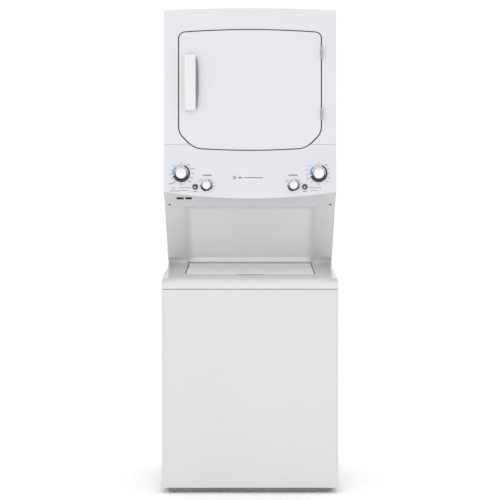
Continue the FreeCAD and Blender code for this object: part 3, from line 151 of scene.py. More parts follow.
def area(points):
    u, v = points.T
    return 0.5 * float(np.sum(u * np.roll(v, -1) - np.roll(u, -1) * v))


def outward(points):
    """For each point of a closed loop, the step that moves both its edges left by one."""
    ahead = np.roll(points, -1, axis=0) - points
    ahead /= np.linalg.norm(ahead, axis=1)[:, None]
    left = np.column_stack([-ahead[:, 1], ahead[:, 0]])
    before = np.roll(left, 1, axis=0)
    return (left + before) / (1 + np.sum(left * before, axis=1))[:, None].clip(0.3)


def distance(points, loop):
    """Distance of each point from a closed loop."""
    best = np.full(len(points), 1e9)
    for a, b in zip(loop, np.roll(loop, -1, axis=0)):
        run = b - a
        share = np.clip(((points - a) @ run) / max(run @ run, 1e-12), 0, 1)
        best = np.minimum(best, np.linalg.norm(points - a - share[:, None] * run, axis=1))
    return best


def crossings(u, v):
    """Every point of a grid with those values along its sides."""
    return np.column_stack([axis.ravel() for axis in np.meshgrid(u, v)])


def within(points, loop):
    """Which points lie inside a closed loop."""
    inside = np.zeros(len(points), bool)
    u, v = points.T
    for (au, av), (bu, bv) in zip(loop, np.roll(loop, -1, axis=0)):
        if av != bv:
            crossing = (av > v) != (bv > v)
            inside ^= crossing & (u < (bu - au) * (v - av) / (bv - av) + au)
    return inside


# ------------------------------------------------------------
# Meshes
# ------------------------------------------------------------
SHARP = math.radians(38)


def add_mesh(name, points, faces, sharp=SHARP):
    """A smooth-shaded mesh object from points in millimetres."""
    mesh = bpy.data.meshes.new(name)
    mesh.from_pydata([tuple(p) for p in np.asarray(points, float) * MM], [], [list(f) for f in faces])
    mesh.validate()
    mesh.polygons.foreach_set("use_smooth", [True] * len(mesh.polygons))
    mesh.set_sharp_from_angle(angle=sharp)
    piece = bpy.data.objects.new(name, mesh)
    bpy.context.scene.collection.objects.link(piece)
    return piece


def modify(piece, kind, **settings):
    modifier = piece.modifiers.new(kind.lower(), kind)
    for key, value in settings.items():
        setattr(modifier, key, value)
    return modifier


def settle(piece, sharp=SHARP):
    """Applies a piece's modifiers."""
    bpy.context.view_layer.update()
    graph = bpy.context.evaluated_depsgraph_get()
    mesh = bpy.data.meshes.new_from_object(piece.evaluated_get(graph))
    piece.modifiers.clear()
    piece.data = mesh
    mesh.set_sharp_from_angle(angle=sharp)
    return piece


def finish_piece(piece, body, material, replaced=()):
    piece.data.materials.clear()
    piece.data.materials.append(material)
    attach(piece, body)
    if replaced:
        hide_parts(*replaced)
    return piece


ROLL_ANGLES = np.radians([0, 18, 36, 54, 72, 90])
CLEAR = 1.5  # from an edge's roll to the nearest point of the grid


def loop(points, roll=3.0, wall=None, rings=(), mask=None):
    """One edge of a panel: its roll radius (a number or one per point), what its skirt does to the rolled
    edge's points, and distances of extra open rows of points, kept where mask is true."""
    return {"points": points, "roll": roll, "wall": wall, "rings": rings, "mask": mask}


def inside(points, fences):
    """Which points lie inside the first fence and outside the others."""
    kept = within(points, fences[0])
    for hole in fences[1:]:
        kept &= ~within(points, hole)
    return kept


def triangulate(flat, links, fences):
    """Joins flat points into anticlockwise triangles that follow the links. Gives the points, the faces
    between the fences, and which of the points given each one comes from."""
    made, _, triangles, origins, _, _ = delaunay_2d_cdt([Vector(p) for p in flat], links, [], 0, 1e-5)
    made = np.array([tuple(p) for p in made])
    triangles = np.array(triangles)
    triangles = triangles[inside(made[triangles].mean(axis=1), fences)]
    corner = made[triangles]
    turned_over = np.cross(corner[:, 1] - corner[:, 0], corner[:, 2] - corner[:, 0]) < 0
    faces = [tuple(t[::-1] if over else t) for t, over in zip(triangles, turned_over)]
    return made, faces, origins


def panel(name, loops, place, relief=None, marks=(), dots=(), step=16.0, thick=1.2, flip=False):
    """A pressed sheet. loops holds the outer edge, then holes; place(u, v, out) wraps flat points onto the
    surface; relief(points) raises it; marks are closed lines that the mesh follows, and dots are (u range,
    v range, spacing) of a finer patch."""
    flat, out, links, skirts = [], [], [], []

    def row(points, heights, closed=True):
        start, count = len(flat), len(points)
        flat.extend(points)
        out.extend(heights)
        links.extend((start + k, start + (k + 1) % count) for k in range(count if closed else count - 1))
        return start

    fences, rolls = [], []
    for k, edge in enumerate(loops):
        points = edge["points"]
        if (area(points) > 0) != (k == 0):
            points = points[::-1]
            if isinstance(edge["roll"], np.ndarray):
                edge["roll"] = edge["roll"][::-1]
            if edge["mask"] is not None:
                edge["mask"] = edge["mask"][::-1]
        inward = outward(points)
        roll = np.broadcast_to(np.asarray(edge["roll"], float), len(points))
        fences.append(points)
        rolls.append(roll.max())
        for angle in ROLL_ANGLES:
            moved = points + inward * (roll * (1 - math.cos(angle)))[:, None]
            start = row(moved, -roll * (1 - math.sin(angle)))
            if angle == 0:
                skirts.append((start, len(points), edge["wall"]))
        mask = edge["mask"]
        for ring in edge["rings"]:
            moved = (points + inward * ring)[mask]
            row(moved, np.zeros(len(moved)), closed=False)
    for line in marks:
        row(line, np.zeros(len(line)))
    (low_u, low_v), (high_u, high_v) = fences[0].min(axis=0), fences[0].max(axis=0)
    grid = crossings(np.arange(low_u + step / 2, high_u, step), np.arange(low_v + step / 2, high_v, step))
    for (u0, u1), (v0, v1), spacing in dots:
        coarse = (grid[:, 0] < u0) | (grid[:, 0] > u1) | (grid[:, 1] < v0) | (grid[:, 1] > v1)
        patch = crossings(np.arange(u0, u1 + 0.01, spacing), np.arange(v0, v1 + 0.01, spacing))
        grid = np.vstack([grid[coarse], patch])
    keep = inside(grid, fences)
    for points, roll in zip(fences, rolls):
        keep &= distance(grid, points) > roll + CLEAR
    flat.extend(grid[keep])
    out.extend(np.zeros(keep.sum()))

    made, faces, origins = triangulate(flat, links, fences)
    heights = np.array([out[o[0]] if o else 0.0 for o in origins])
    where = {o: new for new, old in enumerate(origins) for o in old}
    if relief is not None:
        heights = heights + relief(made)
    points = place(made[:, 0], made[:, 1], heights)
    for start, count, wall in [s for s in skirts if s[2]]:
        rim = [where[start + k] for k in range(count)]
        base = len(points)
        points = np.vstack([points, wall(points[rim])])
        faces += [(rim[(k + 1) % count], rim[k], base + k, base + (k + 1) % count) for k in range(count)]
    if flip:
        faces = [f[::-1] for f in faces]
    piece = add_mesh(name, points, faces)
    modify(piece, "WELD", merge_threshold=0.02 * MM)
    modify(piece, "SOLIDIFY", thickness=thick * MM, offset=-1)
    return settle(piece)


def skirt(axis, level):
    """A skirt whose points all go to one level along an axis; level is a number or level(points)."""

    def wall(points):
        moved = points.copy()
        moved[:, axis] = level(points) if callable(level) else level
        return moved

    return wall


def back_to(depth):
    """A skirt that runs straight back to a depth."""
    return skirt(1, FRONT + depth)


def forward_to(behind):
    """A skirt that comes forward to a little behind the door's face."""
    return skirt(1, lambda p: FRONT + door_face(p[:, 0], p[:, 2]) + behind)


def shifted(x, y, z):
    """A skirt that is the rim's own copy, moved."""
    return lambda points: points + np.array([x, y, z])


def facing(depth):
    """Wraps (x, z) onto a front whose depth is a number or depth(x, z)."""

    def place(u, v, out):
        behind = depth(u, v) if callable(depth) else depth
        return np.column_stack([u, FRONT + behind - out, v])

    return place


class Profile:
    """A side profile in (depth, height) that a sheet is wrapped on; its flat v is the length along it."""

    def __init__(self, outline):
        self.points = trace(outline, closed=False, step=1.5, turn=math.radians(3))
        steps = np.diff(self.points, axis=0)
        self.along = np.concatenate([[0], np.cumsum(np.linalg.norm(steps, axis=1))])
        tangent = np.gradient(self.points, self.along, axis=0)
        normal = np.column_stack([-tangent[:, 1], tangent[:, 0]])
        width = 5
        padded = np.pad(normal, ((width, width), (0, 0)), mode="edge")
        normal = np.array([padded[i : i + 2 * width + 1].mean(axis=0) for i in range(len(normal))])
        self.normal = normal / np.linalg.norm(normal, axis=1)[:, None]
        self.length = self.along[-1]

    def at_depth(self, depth):
        """Length along the profile where it passes a depth, going back or coming forward."""
        run = self.points[:, 0]
        order = slice(None) if run[-1] > run[0] else slice(None, None, -1)
        return float(np.interp(depth, run[order], self.along[order]))

    def at_height(self, height):
        return float(np.interp(height, self.points[:, 1], self.along))

    def place(self, u, v, out):
        pick = [np.interp(v, self.along, column) for column in (*self.points.T, *self.normal.T)]
        return np.column_stack([u, FRONT + pick[0] + pick[2] * out, pick[1] + pick[3] * out])


def tube_faces(rings, count):
    """The faces between rings of points that follow one another."""
    grid = np.arange(rings * count).reshape(rings, count)
    beside = np.roll(grid, -1, axis=1)
    quads = np.stack([grid[:-1], beside[:-1], beside[1:], grid[1:]], axis=2)
    return [tuple(q) for q in quads.reshape(-1, 4).tolist()]


def lathe(name, profile, centre, axis="y", count=72, flutes=None):
    """A turned piece: profile is (radius, height) points from its front to its back. flutes is
    (how many, how deep, lowest height, highest height)."""
    points = []
    for radius, height in profile:
        for k in range(count):
            angle = 2 * math.pi * k / count
            r = radius
            if flutes and flutes[2] <= height <= flutes[3]:
                r -= flutes[1] * (0.5 + 0.5 * math.cos(angle * flutes[0])) ** 2
            points.append((r * math.cos(angle), r * math.sin(angle), height))
    points = np.array(points)
    if axis == "y":  # height becomes the way out of the front, -Y
        points = np.column_stack([points[:, 0], -points[:, 2], points[:, 1]])
    piece = add_mesh(name, points + np.array(centre), tube_faces(len(profile), count))
    modify(piece, "WELD", merge_threshold=0.01 * MM)
    return settle(piece)


def turned(name, outline, *placed, **more):
    """A lathe piece whose outline may have arcs."""
    profile = [tuple(p) for p in trace(outline, closed=False, step=3.0, turn=math.radians(15))]
    return lathe(name, profile, *placed, **more)


def rounded_block(name, low, high, radius, bend=None):
    """A block with round edges, its points moved by bend."""
    steps = 5
    arcs = np.radians(np.linspace(0, 90, steps))
    axes = []
    for a, b in zip(low, high):
        edge = radius * (1 - np.cos(arcs))
        inner = np.linspace(a + radius, b - radius, max(2, int((b - a) / 8)))
        axes.append(np.concatenate([a + edge[:-1], inner, (b - edge[:-1])[::-1]]))
    points, faces, seen = [], [], {}
    low, high = np.array(low, float), np.array(high, float)

    def corner(p):
        key = tuple(np.round(p, 4))
        if key not in seen:
            seen[key] = len(points)
            core = np.clip(p, low + radius, high - radius)
            step = np.array(p) - core
            length = np.linalg.norm(step)
            points.append(core + step / length * radius if length > 1e-9 else np.array(p, float))
        return seen[key]

    for axis in range(3):
        b, c = [i for i in range(3) if i != axis]
        for end, value in enumerate((low[axis], high[axis])):
            for i in range(len(axes[b]) - 1):
                for j in range(len(axes[c]) - 1):
                    quad = []
                    for p, q in ((i, j), (i + 1, j), (i + 1, j + 1), (i, j + 1)):
                        spot = [0.0] * 3
                        spot[axis], spot[b], spot[c] = value, axes[b][p], axes[c][q]
                        quad.append(corner(spot))
                    flipped = (end == 0) != (axis == 1)
                    faces.append(quad[::-1] if flipped else quad)
    points = np.array(points)
    if bend:
        points = bend(points)
    return add_mesh(name, points, faces)


def join(name, parts):
    """Several meshes as one piece."""
    points, faces = [], []
    for part in parts:
        base = len(points)
        points += [tuple(v.co / MM) for v in part.data.vertices]
        faces += [[base + i for i in polygon.vertices] for polygon in part.data.polygons]
        bpy.data.objects.remove(part)
    return add_mesh(name, points, faces)


# ------------------------------------------------------------
# Materials
# ------------------------------------------------------------


class Nodes:
    """A short way to build a node tree."""

    def __init__(self, name):
        self.material = bpy.data.materials.new(name)
        self.material.use_nodes = True
        self.tree = self.material.node_tree
        self.shader = self.tree.nodes["Principled BSDF"]
        self.coords = self.add("ShaderNodeTexCoord").outputs["Object"]

    def add(self, kind, inputs=None, **settings):
        node = self.tree.nodes.new(kind)
        for key, value in settings.items():
            setattr(node, key, value)
        return self.fill(node, inputs or {})

    def fill(self, node, inputs):
        """Sets a node's inputs, each from a constant or from another node's socket."""
        for key, value in inputs.items():
            if isinstance(value, bpy.types.NodeSocket):
                self.tree.links.new(value, node.inputs[key])
            else:
                node.inputs[key].default_value = value
        return node

    def finish(self, color, inputs):
        """Gives the shader its colour and its other inputs."""
        self.fill(self.shader, {"Base Color": color, **inputs})
        return self.material

    def calculate(self, operation, first, second=0.0):
        return self.add("ShaderNodeMath", {0: first, 1: second}, operation=operation).outputs["Value"]

    def axis(self, letter):
        """Where a point of the piece is along one axis, in metres."""
        return self.add("ShaderNodeSeparateXYZ", {"Vector": self.coords}).outputs[letter]

    def stretched(self, scale):
        return self.add("ShaderNodeMapping", {"Vector": self.coords, "Scale": scale}).outputs["Vector"]

    def noise(self, scale, detail=2.0, vector=None, roughness=0.5):
        inputs = {"Vector": vector or self.coords, "Scale": scale, "Detail": detail, "Roughness": roughness}
        return self.add("ShaderNodeTexNoise", inputs).outputs["Fac"]

    def spread(self, value, low, high, start=0.3, end=0.7):
        inputs = {"Value": value, "From Min": start, "From Max": end, "To Min": low, "To Max": high}
        return self.add("ShaderNodeMapRange", inputs).outputs["Result"]

    def between(self, value, start, end):
        """Rises from 0 to 1 as the value goes from start to end."""
        return self.spread(value, 0.0, 1.0, start, end)

    def blend(self, factor, first, second):
        """A colour between two, each (red, green, blue) or a socket."""
        mix = self.add("ShaderNodeMix", {"Factor": factor}, data_type="RGBA")
        for key, color in (("A", first), ("B", second)):
            self.fill(mix, {key: (*color, 1) if isinstance(color, tuple) else color})
        return mix.outputs["Result"]

    def drift(self, scale, color, darker, lighter):
        """A colour that wanders slowly between a darker and a lighter one."""
        wander = self.between(self.noise(scale, 3.0), 0.3, 0.7)
        return self.blend(wander, shade(color, darker), shade(color, lighter))

    def bump(self, height, strength, depth, normal=None):
        inputs = {"Height": height, "Strength": strength, "Distance": depth}
        if normal:
            inputs["Normal"] = normal
        return self.add("ShaderNodeBump", inputs).outputs["Normal"]


def shade(color, factor):
    return tuple(min(1.0, c * factor) for c in color)


def surface(name, color, roughness, metallic=0.0, mottle=0.03, patch=3.0, grain=900.0, bump=0.12,
            stretch=None, coat=0.0, specular=0.5):  # fmt: skip
    """A finish with slow colour drift, uneven roughness and a fine surface texture."""
    n = Nodes(name)
    fine = n.noise(grain, 3.0, n.stretched(stretch) if stretch else None, 0.6)
    both = n.calculate("ADD", fine, n.noise(patch * 4, 4.0))
    return n.finish(n.drift(patch, color, 1 - mottle, 1 + mottle), {
        "Roughness": n.spread(both, roughness * 0.85, roughness * 1.15, 0.7, 1.3),
        "Normal": n.bump(fine, bump, 0.0004), "Metallic": metallic, "Coat Weight": coat,
        "Coat Roughness": 0.08, "Specular IOR Level": specular,
    })  # fmt: skip


def enamel_coat(n, color, low, high, wave=None):
    """A colour under the peel, gloss and clear coat of baked enamel; low and high bound its roughness."""
    return n.finish(color, {
        "Normal": n.bump(n.noise(380.0, 1.5), 0.05, 0.0003, wave),
        "Roughness": n.spread(n.noise(30.0, 4.0), low, high),
        "Coat Weight": 0.25, "Coat Roughness": 0.12,
    })  # fmt: skip


def enamel(name, color, roughness=0.32):
    """Baked enamel of one colour, a little wavy."""
    n = Nodes(name)
    wave = n.bump(n.noise(9.0, 2.0), 0.03, 0.004)
    return enamel_coat(n, n.drift(2.2, color, 0.985, 1.012), roughness * 0.9, roughness * 1.15, wave)


def galvanised(name):
    """Zinc-coated sheet with its spangle."""
    n = Nodes(name)
    cells = n.add("ShaderNodeTexVoronoi", {"Vector": n.coords, "Scale": 95.0, "Randomness": 1.0})
    tone = n.between(cells.outputs["Color"], 0.1, 0.9)
    return n.finish(n.blend(tone, (0.42, 0.44, 0.46), (0.62, 0.64, 0.66)), {
        "Roughness": n.spread(tone, 0.34, 0.52, 0.0, 1.0),
        "Normal": n.bump(n.noise(420.0, 3.0), 0.1, 0.0003), "Metallic": 0.85,
    })  # fmt: skip


def felt(name):
    n = Nodes(name)
    fibre = n.noise(1400.0, 5.0, n.stretched((1.0, 3.0, 1.0)), 0.7)
    color = n.blend(n.between(fibre, 0.3, 0.7), (0.34, 0.32, 0.28), (0.55, 0.52, 0.47))
    return n.finish(color, {"Normal": n.bump(fibre, 0.6, 0.0008), "Roughness": 0.95, "Sheen Weight": 0.4})


def recess_painted_shade(name):
    """Enamel with painted light and shade: a little lighter in the sunk field, most of all low down, than on
    the flanges round it.
    """
    n = Nodes(name)
    beside = n.between(n.calculate("ABSOLUTE", n.axis("X")), 0.235, 0.270)
    above = n.between(n.axis("Z"), 1.105, 1.14)
    rise = n.between(n.axis("Z"), 0.90, 1.10)
    field = n.blend(rise, (0.80, 0.795, 0.81), (0.68, 0.675, 0.69))
    color = n.blend(n.calculate("MAXIMUM", beside, above), field, (0.60, 0.60, 0.605))
    return enamel_coat(n, color, 0.38, 0.48)


def deck_painted_shade(name):
    """Enamel with painted light and shade: a little lighter on the nose than on the deck's top, and darker
    towards the top's sides.
    """
    n = Nodes(name)
    rise = n.between(n.axis("Z"), 0.812, 0.84)
    beside = n.between(n.calculate("ABSOLUTE", n.axis("X")), 0.280, 0.332)
    top = n.blend(rise, (0.67, 0.67, 0.68), (0.585, 0.585, 0.595))
    color = n.blend(n.calculate("MULTIPLY", rise, beside), top, (0.42, 0.42, 0.427))
    return enamel_coat(n, color, 0.28, 0.37)


def trim_painted_reflection(x, z):
    """Bright chrome with a painted reflection: its lower half is painted dark, as a ring set under a brow
    reflects shade.
    """
    n = Nodes(f"trim_{'left' if x < 0 else 'right'}_{round(z)}")
    rise = n.between(n.axis("Z"), (z - 12) * MM, (z + 16) * MM)
    brushed = n.noise(700.0, 2.0)
    return n.finish(n.blend(rise, (0.045, 0.045, 0.05), (0.80, 0.80, 0.82)), {
        "Roughness": n.spread(brushed, 0.16, 0.24),
        "Normal": n.bump(brushed, 0.04, 0.0002), "Metallic": 0.9,
    })  # fmt: skip


def printed(name, color, roughness=0.5, mottle=0.1):
    """Ink on the console."""
    return surface(name, color, roughness, mottle=mottle, patch=60, grain=2500, bump=0.05)


def plastic(name, color, roughness, mottle, grain, bump, **more):
    """Moulded plastic or rubber."""
    return surface(name, color, roughness, mottle=mottle, grain=grain, bump=bump, **more)


def metal(name, color, roughness, metallic, mottle, patch, grain, bump=0.15, stretch=None):
    """Bare, plated or painted metal; stretch draws its grain out along an axis."""
    return surface(name, color, roughness, metallic, mottle, patch, grain, bump, stretch)


BRUSHED = (1, 1, 26)
M = {
    "white": enamel("white_enamel", (0.645, 0.65, 0.658)),
    # painted light and shade: the deck enamel is lighter on the nose and darker towards the sides of its top
    "deck": deck_painted_shade("deck_enamel_painted_shade"),
    # painted light: the lid's copy of the white enamel is lighter, against the shade under the dryer's
    # overhang
    "lid": enamel("lid_enamel_painted_light", (0.80, 0.80, 0.81)),
    "door": enamel("door_enamel", (0.70, 0.70, 0.742), 0.36),
    # painted shade: the recess enamel is darker on its flanges and higher up under the console's brow
    "recess": recess_painted_shade("recess_enamel_painted_shade"),
    "dryer": enamel("dryer_enamel", (0.70, 0.70, 0.735)),
    "drum": enamel("drum_enamel", (0.66, 0.69, 0.72), 0.4),
    "toe": surface("toe_enamel", (0.34, 0.34, 0.335), 0.5, mottle=0.12, grain=500, bump=0.2),
    "zinc_sheet": galvanised("galvanised_sheet"),
    "stainless": metal("brushed_stainless", (0.62, 0.62, 0.63), 0.3, 1.0, 0.04, 5, 260, 0.12, BRUSHED),
    "button": metal("button_chrome", (0.10, 0.10, 0.105), 0.3, 0.7, 0.04, 8, 500, 0.03),
    "hinge": metal("hinge_paint", (0.46, 0.465, 0.49), 0.42, 0.0, 0.03, 6, 700, 0.08),
    "zinc": metal("zinc_plate", (0.58, 0.58, 0.56), 0.36, 1.0, 0.08, 30, 500),
    "screw": metal("dark_zinc", (0.16, 0.16, 0.165), 0.4, 0.6, 0.08, 30, 500),
    "cast": metal("cast_alloy", (0.45, 0.46, 0.47), 0.62, 0.85, 0.1, 15, 350, 0.7),
    "motor": metal("motor_enamel", (0.045, 0.045, 0.05), 0.5, 0.1, 0.2, 12, 300, 0.35),
    "heater": metal("heater_steel", (0.36, 0.33, 0.31), 0.5, 0.9, 0.2, 10, 300, 0.3),
    "console": plastic("console_plastic", (0.685, 0.685, 0.725), 0.42, 0.008, 1500, 0.05),
    "handle": plastic("handle_plastic", (0.745, 0.745, 0.75), 0.35, 0.008, 1200, 0.05, coat=0.15),
    "knob": plastic("knob_plastic", (0.80, 0.80, 0.79), 0.3, 0.01, 1500, 0.04, coat=0.2),
    "tub": plastic("tub_plastic", (0.62, 0.64, 0.66), 0.6, 0.05, 700, 0.2),
    "agitator": plastic("agitator_plastic", (0.55, 0.6, 0.68), 0.38, 0.03, 900, 0.08, coat=0.1),
    "grey": plastic("grey_plastic", (0.30, 0.31, 0.33), 0.6, 0.06, 900, 0.25),
    "black": plastic("black_plastic", (0.028, 0.028, 0.03), 0.55, 0.2, 900, 0.3),
    "valve_red": plastic("valve_red", (0.52, 0.05, 0.04), 0.5, 0.06, 900, 0.1),
    "rubber": plastic("black_rubber", (0.022, 0.022, 0.022), 0.8, 0.2, 600, 0.4, specular=0.3),
    "seal": plastic("seal_rubber", (0.36, 0.37, 0.39), 0.75, 0.08, 700, 0.3, specular=0.3),
    "felt": felt("grey_felt"),
    "print_dark": printed("print_dark", (0.06, 0.06, 0.065), mottle=0.15),
    "print_blue": printed("print_blue", (0.10, 0.36, 0.62)),
    "print_light": printed("print_light", (0.52, 0.53, 0.56)),
    "badge_blue": printed("badge_blue", (0.23, 0.40, 0.55), 0.4, 0.08),
    "badge_grey": plastic("badge_grey", (0.20, 0.20, 0.21), 0.35, 0.05, 2500, 0.04, metallic=0.6),
    # painted shade: flat black for holes and hollows that are dark only from shade
    "shadow": plastic("painted_shadow", (0.012, 0.012, 0.013), 0.9, 0.3, 800, 0.2, patch=40),
}
SLOT_FINISH = {
    "white_steel": "white", "door_steel": "door", "white_plastic": "console", "recess_steel": "recess",
    "toe_steel": "toe", "galvanised": "zinc_sheet", "stainless": "stainless", "drum_enamel": "drum",
    "tub_plastic": "tub", "agitator_plastic": "agitator", "grey_plastic": "grey", "black_plastic": "black",
    "knob_plastic": "knob", "button_chrome": "button", "hinge_steel": "hinge", "zinc": "zinc",
    "cast_alloy": "cast", "motor_black": "motor", "rubber_black": "rubber", "seal_grey": "seal",
    "felt": "felt", "heater_steel": "heater",
}  # fmt: skip
NODE_FINISH = {"recess_screws": "screw"}
EDGE = {"base_frame": 1.2, "drum_baffles": 5.0, "agitator": 2.0, "door_inner": 1.5, "lint_filter": 1.0}


def smooth_group():
    """A geometry node group that shades smooth except across sharp edges."""
    group = bpy.data.node_groups.new("smooth_by_angle", "GeometryNodeTree")
    for way in ("INPUT", "OUTPUT"):
        group.interface.new_socket("Geometry", in_out=way, socket_type="NodeSocketGeometry")
    start, faces, edges, angle, compare, end = (group.nodes.new(kind) for kind in (
        "NodeGroupInput", "GeometryNodeSetShadeSmooth", "GeometryNodeSetShadeSmooth",
        "GeometryNodeInputMeshEdgeAngle", "FunctionNodeCompare", "NodeGroupOutput",
    ))  # fmt: skip
    edges.domain = "EDGE"
    compare.operation = "LESS_THAN"
    compare.inputs["B"].default_value = math.radians(32)
    for source, target in (
        (start.outputs[0], faces.inputs["Geometry"]), (faces.outputs["Geometry"], edges.inputs["Geometry"]),
        (angle.outputs["Unsigned Angle"], compare.inputs["A"]),
        (compare.outputs["Result"], edges.inputs["Shade Smooth"]),
        (edges.outputs["Geometry"], end.inputs[0]),
    ):  # fmt: skip
        group.links.new(source, target)
    return group


SMOOTH = smooth_group()


def dress_cad():
    """Every CAD node gets its finish, and softened edges."""
    for row in frame["record"]["subparts"]:
        node = frame["nodes"][row["node"]]
        node.data.materials.clear()
        node.data.materials.append(M[NODE_FINISH.get(row["node"], SLOT_FINISH[row["material_slot"]])])
        modify(node, "WELD", merge_threshold=0.02 * MM)
        modify(node, "DECIMATE", decimate_type="DISSOLVE", angle_limit=math.radians(0.4))
        modify(
            node, "BEVEL", width=EDGE.get(row["node"], 0.4) * MM, segments=2, limit_method="ANGLE",
            angle_limit=math.radians(40), use_clamp_overlap=True,
        )  # fmt: skip
        smoother = node.modifiers.new("smooth", "NODES")
        smoother.node_group = SMOOTH


# ------------------------------------------------------------
# Washer skins
# ------------------------------------------------------------
LID_FRONT, LID_BACK, WAIST_BACK = 118.0, 427.0, 432.0
DECK = Profile([
    (0, SEAM), (0, 808, (24, -1)), (22, 831.5, (4000, -1)), (385, 874.5, (120, 1)), (WAIST_BACK, WAIST),
    (DECK_BACK, WAIST),
])  # fmt: skip
LID_GAP_SIDE, LID_GAP_BACK = 1.7, 3.2
SCOOP_HALF, SCOOP_DEEP, SCOOP_LEAN = 85.0, 9.0, 10.0
FINGER_DEEP, FINGER_LONG, LID_THICK = 6.0, 28.0, 8.0
BOWL_DEEP, LINER_PROUD, LINER_DOWN = 2.6, 4.0, 9.0
WELL_HALF, WELL_FRONT, WELL_BACK, WELL_DEEP = 236.0, 140.0, 406.0, 22.0
SEAT_LOW, SEAT_HIGH = 823.6, 853.2


def share_within(points, half, ends, ramps):
    """How far points are inside a field, as a share of its ramps at the sides, the low and the high end."""
    u, v = points.T
    gone = (half - np.abs(u), v - ends[0], ends[1] - v)
    return np.minimum.reduce([run / ramp for run, ramp in zip(gone, ramps)])


def side_heavy(points, sides, ends):
    """Roll radii: one for edges that face sideways, another for those that face up or down."""
    normal = outward(points)
    share = normal[:, 0] ** 2 / (normal**2).sum(axis=1)
    return ends + (sides - ends) * share


def washer_front():
    points = trace(rounded((-HALF, HALF), (FRONT_LOW, FRONT_HIGH), 3))
    edge = loop(points, side_heavy(points, 9, 2.5), back_to(16))
    piece = panel("washer_front", [edge], facing(0.0))
    finish_piece(piece, "cabinet", M["white"], ["washer_front_panel"])


def lid_outline(grow, scoop):
    """The lid's edge on the deck, with its finger scoop; scoop is how far the front edge moves back."""
    half = LID_HALF + (LID_GAP_SIDE * grow if grow > 0 else grow)
    front = DECK.at_depth(LID_FRONT) - grow
    back = DECK.at_depth(LID_BACK) + (LID_GAP_BACK if grow > 0 else grow - 2.5)
    r = 5.0
    radius = arc_radius(SCOOP_HALF, abs(scoop))
    middle_edge = (-SCOOP_HALF, front, (radius, -1 if scoop > 0 else 1))
    return [
        (-half + r, front), middle_edge, (SCOOP_HALF, front), (half - r, front, (r, 1)),
        (half, front + r), (half, back), (-half, back), (-half, front + r, (r, 1)),
    ]  # fmt: skip


def washer_deck():
    points = trace(rounded((-HALF, HALF), (0, DECK.length), 9))
    outer = loop(points, side_heavy(points, 8, 2.5), skirt(2, SEAM))
    hole = loop(trace(lid_outline(2, -4)), 1.8, shifted(0, 0, -16))
    front = DECK.at_depth(LID_FRONT)

    def finger_dish(points):
        """The way down to the lid's edge for the fingers, in front of its scoop."""
        u, v = points.T
        across = np.clip(1 - (u / SCOOP_HALF) ** 2, 0, 1)
        along = np.clip((v - front + FINGER_LONG + 2) / FINGER_LONG, 0, 1)
        return -FINGER_DEEP * across * along**1.5 * (v < front + 20)

    piece = panel("washer_deck", [outer, hole], DECK.place, relief=finger_dish, step=12)
    finish_piece(piece, "cabinet", M["deck"], ["washer_top_cover"])


def washer_lid():
    def bowl(points):
        """A shallow dish on the lid's top."""
        ends = DECK.at_depth(LID_FRONT + 46), DECK.at_depth(LID_BACK - 48)
        return -BOWL_DEEP * ease(share_within(points, WELL_HALF, ends, (26, 34, 16)))

    def tucked(points):
        """The lid's skirt, which leans back under the finger scoop."""
        moved = points - np.array([0, 0, LID_THICK])
        share = np.clip(1 - (points[:, 0] / SCOOP_HALF) ** 2, 0, 1) * (points[:, 1] < FRONT + LID_FRONT + 30)
        moved[:, 1] += SCOOP_LEAN * share
        return moved

    edge = loop(trace(lid_outline(0, SCOOP_DEEP)), 2.6, tucked)
    top = panel("lid_top", [edge], DECK.place, relief=bowl, step=9)
    finish_piece(top, "lid", M["lid"], ["washer_lid"])

    def rib(points):
        """The field of the lid's underside, which the return of the liner goes round."""
        ends = DECK.at_depth(LID_FRONT + 30), DECK.at_depth(LID_BACK - 30)
        return -LINER_PROUD * ease(share_within(points, WELL_HALF - 11, ends, (10, 10, 10)))

    def below(u, v, out):
        return DECK.place(u, v, -LINER_DOWN - out)

    edge = loop(trace(lid_outline(-4, SCOOP_DEEP)), 1.5, shifted(0, 0, 3))
    under = panel("lid_liner", [edge], below, relief=rib, step=9, thick=0.8, flip=True)
    finish_piece(under, "lid", M["white"])


def lid_seat():
    """The ledge under the lid, round the way into the tub."""

    def height(v):
        return (v - LID_FRONT) / (LID_BACK + 5 - LID_FRONT) * (SEAT_HIGH - SEAT_LOW) + SEAT_LOW

    down = shifted(0, 0, -WELL_DEEP)
    outer = loop(trace(rounded((-LID_HALF - 2, LID_HALF + 2), (LID_FRONT - 2, LID_BACK + 5), 5)), 0.6)
    hole = loop(trace(rounded((-WELL_HALF, WELL_HALF), (WELL_FRONT, WELL_BACK), 30)), 5, down)

    def place(u, v, out):
        return np.column_stack([u, FRONT + v, height(v) + out])

    def follow(points):
        return points + np.array([0, 0, 1]) * height(points[:, 1:2] - FRONT)

    finish_piece(panel("lid_seat", [outer, hole], place, step=20), "cabinet", M["white"])
    front, back = FRONT + LID_FRONT, FRONT + LID_BACK
    # Dark strips under the lid's side and front gaps: painted shade that darkens the gap lines.
    gap_shade_strips = [("front", (-SCOOP_HALF, SCOOP_HALF), (front - 2, front + 16), 4.5, "seal")]
    for side, name in SIDES:
        across = sorted((side * (LID_HALF - 6), side * (LID_HALF + 3.2)))
        gap_shade_strips.append((name, across, (front + 8, back + 3), 8.5, "rubber"))
    for name, (left, right), (near, far), top, finish in gap_shade_strips:
        strip = rounded_block("lid_gap_shade_" + name, (left, near, 0.6), (right, far, top), 1.2, follow)
        finish_piece(strip, "cabinet", M[finish])


# ------------------------------------------------------------
# Sloping panel
# ------------------------------------------------------------
SLOPE = Profile([(WAIST_BACK, WAIST + 0.5), (191.6, 1133.4, (15, -1)), (189.1, 1135.5), (128.5, 1174.7)])
SUNK_DEEP = 15.0
VENTS = ((-293.0, -264.6), (-257.5, -231.9))
VENT_LOW, VENT_HIGH = 1142.0, 1151.0


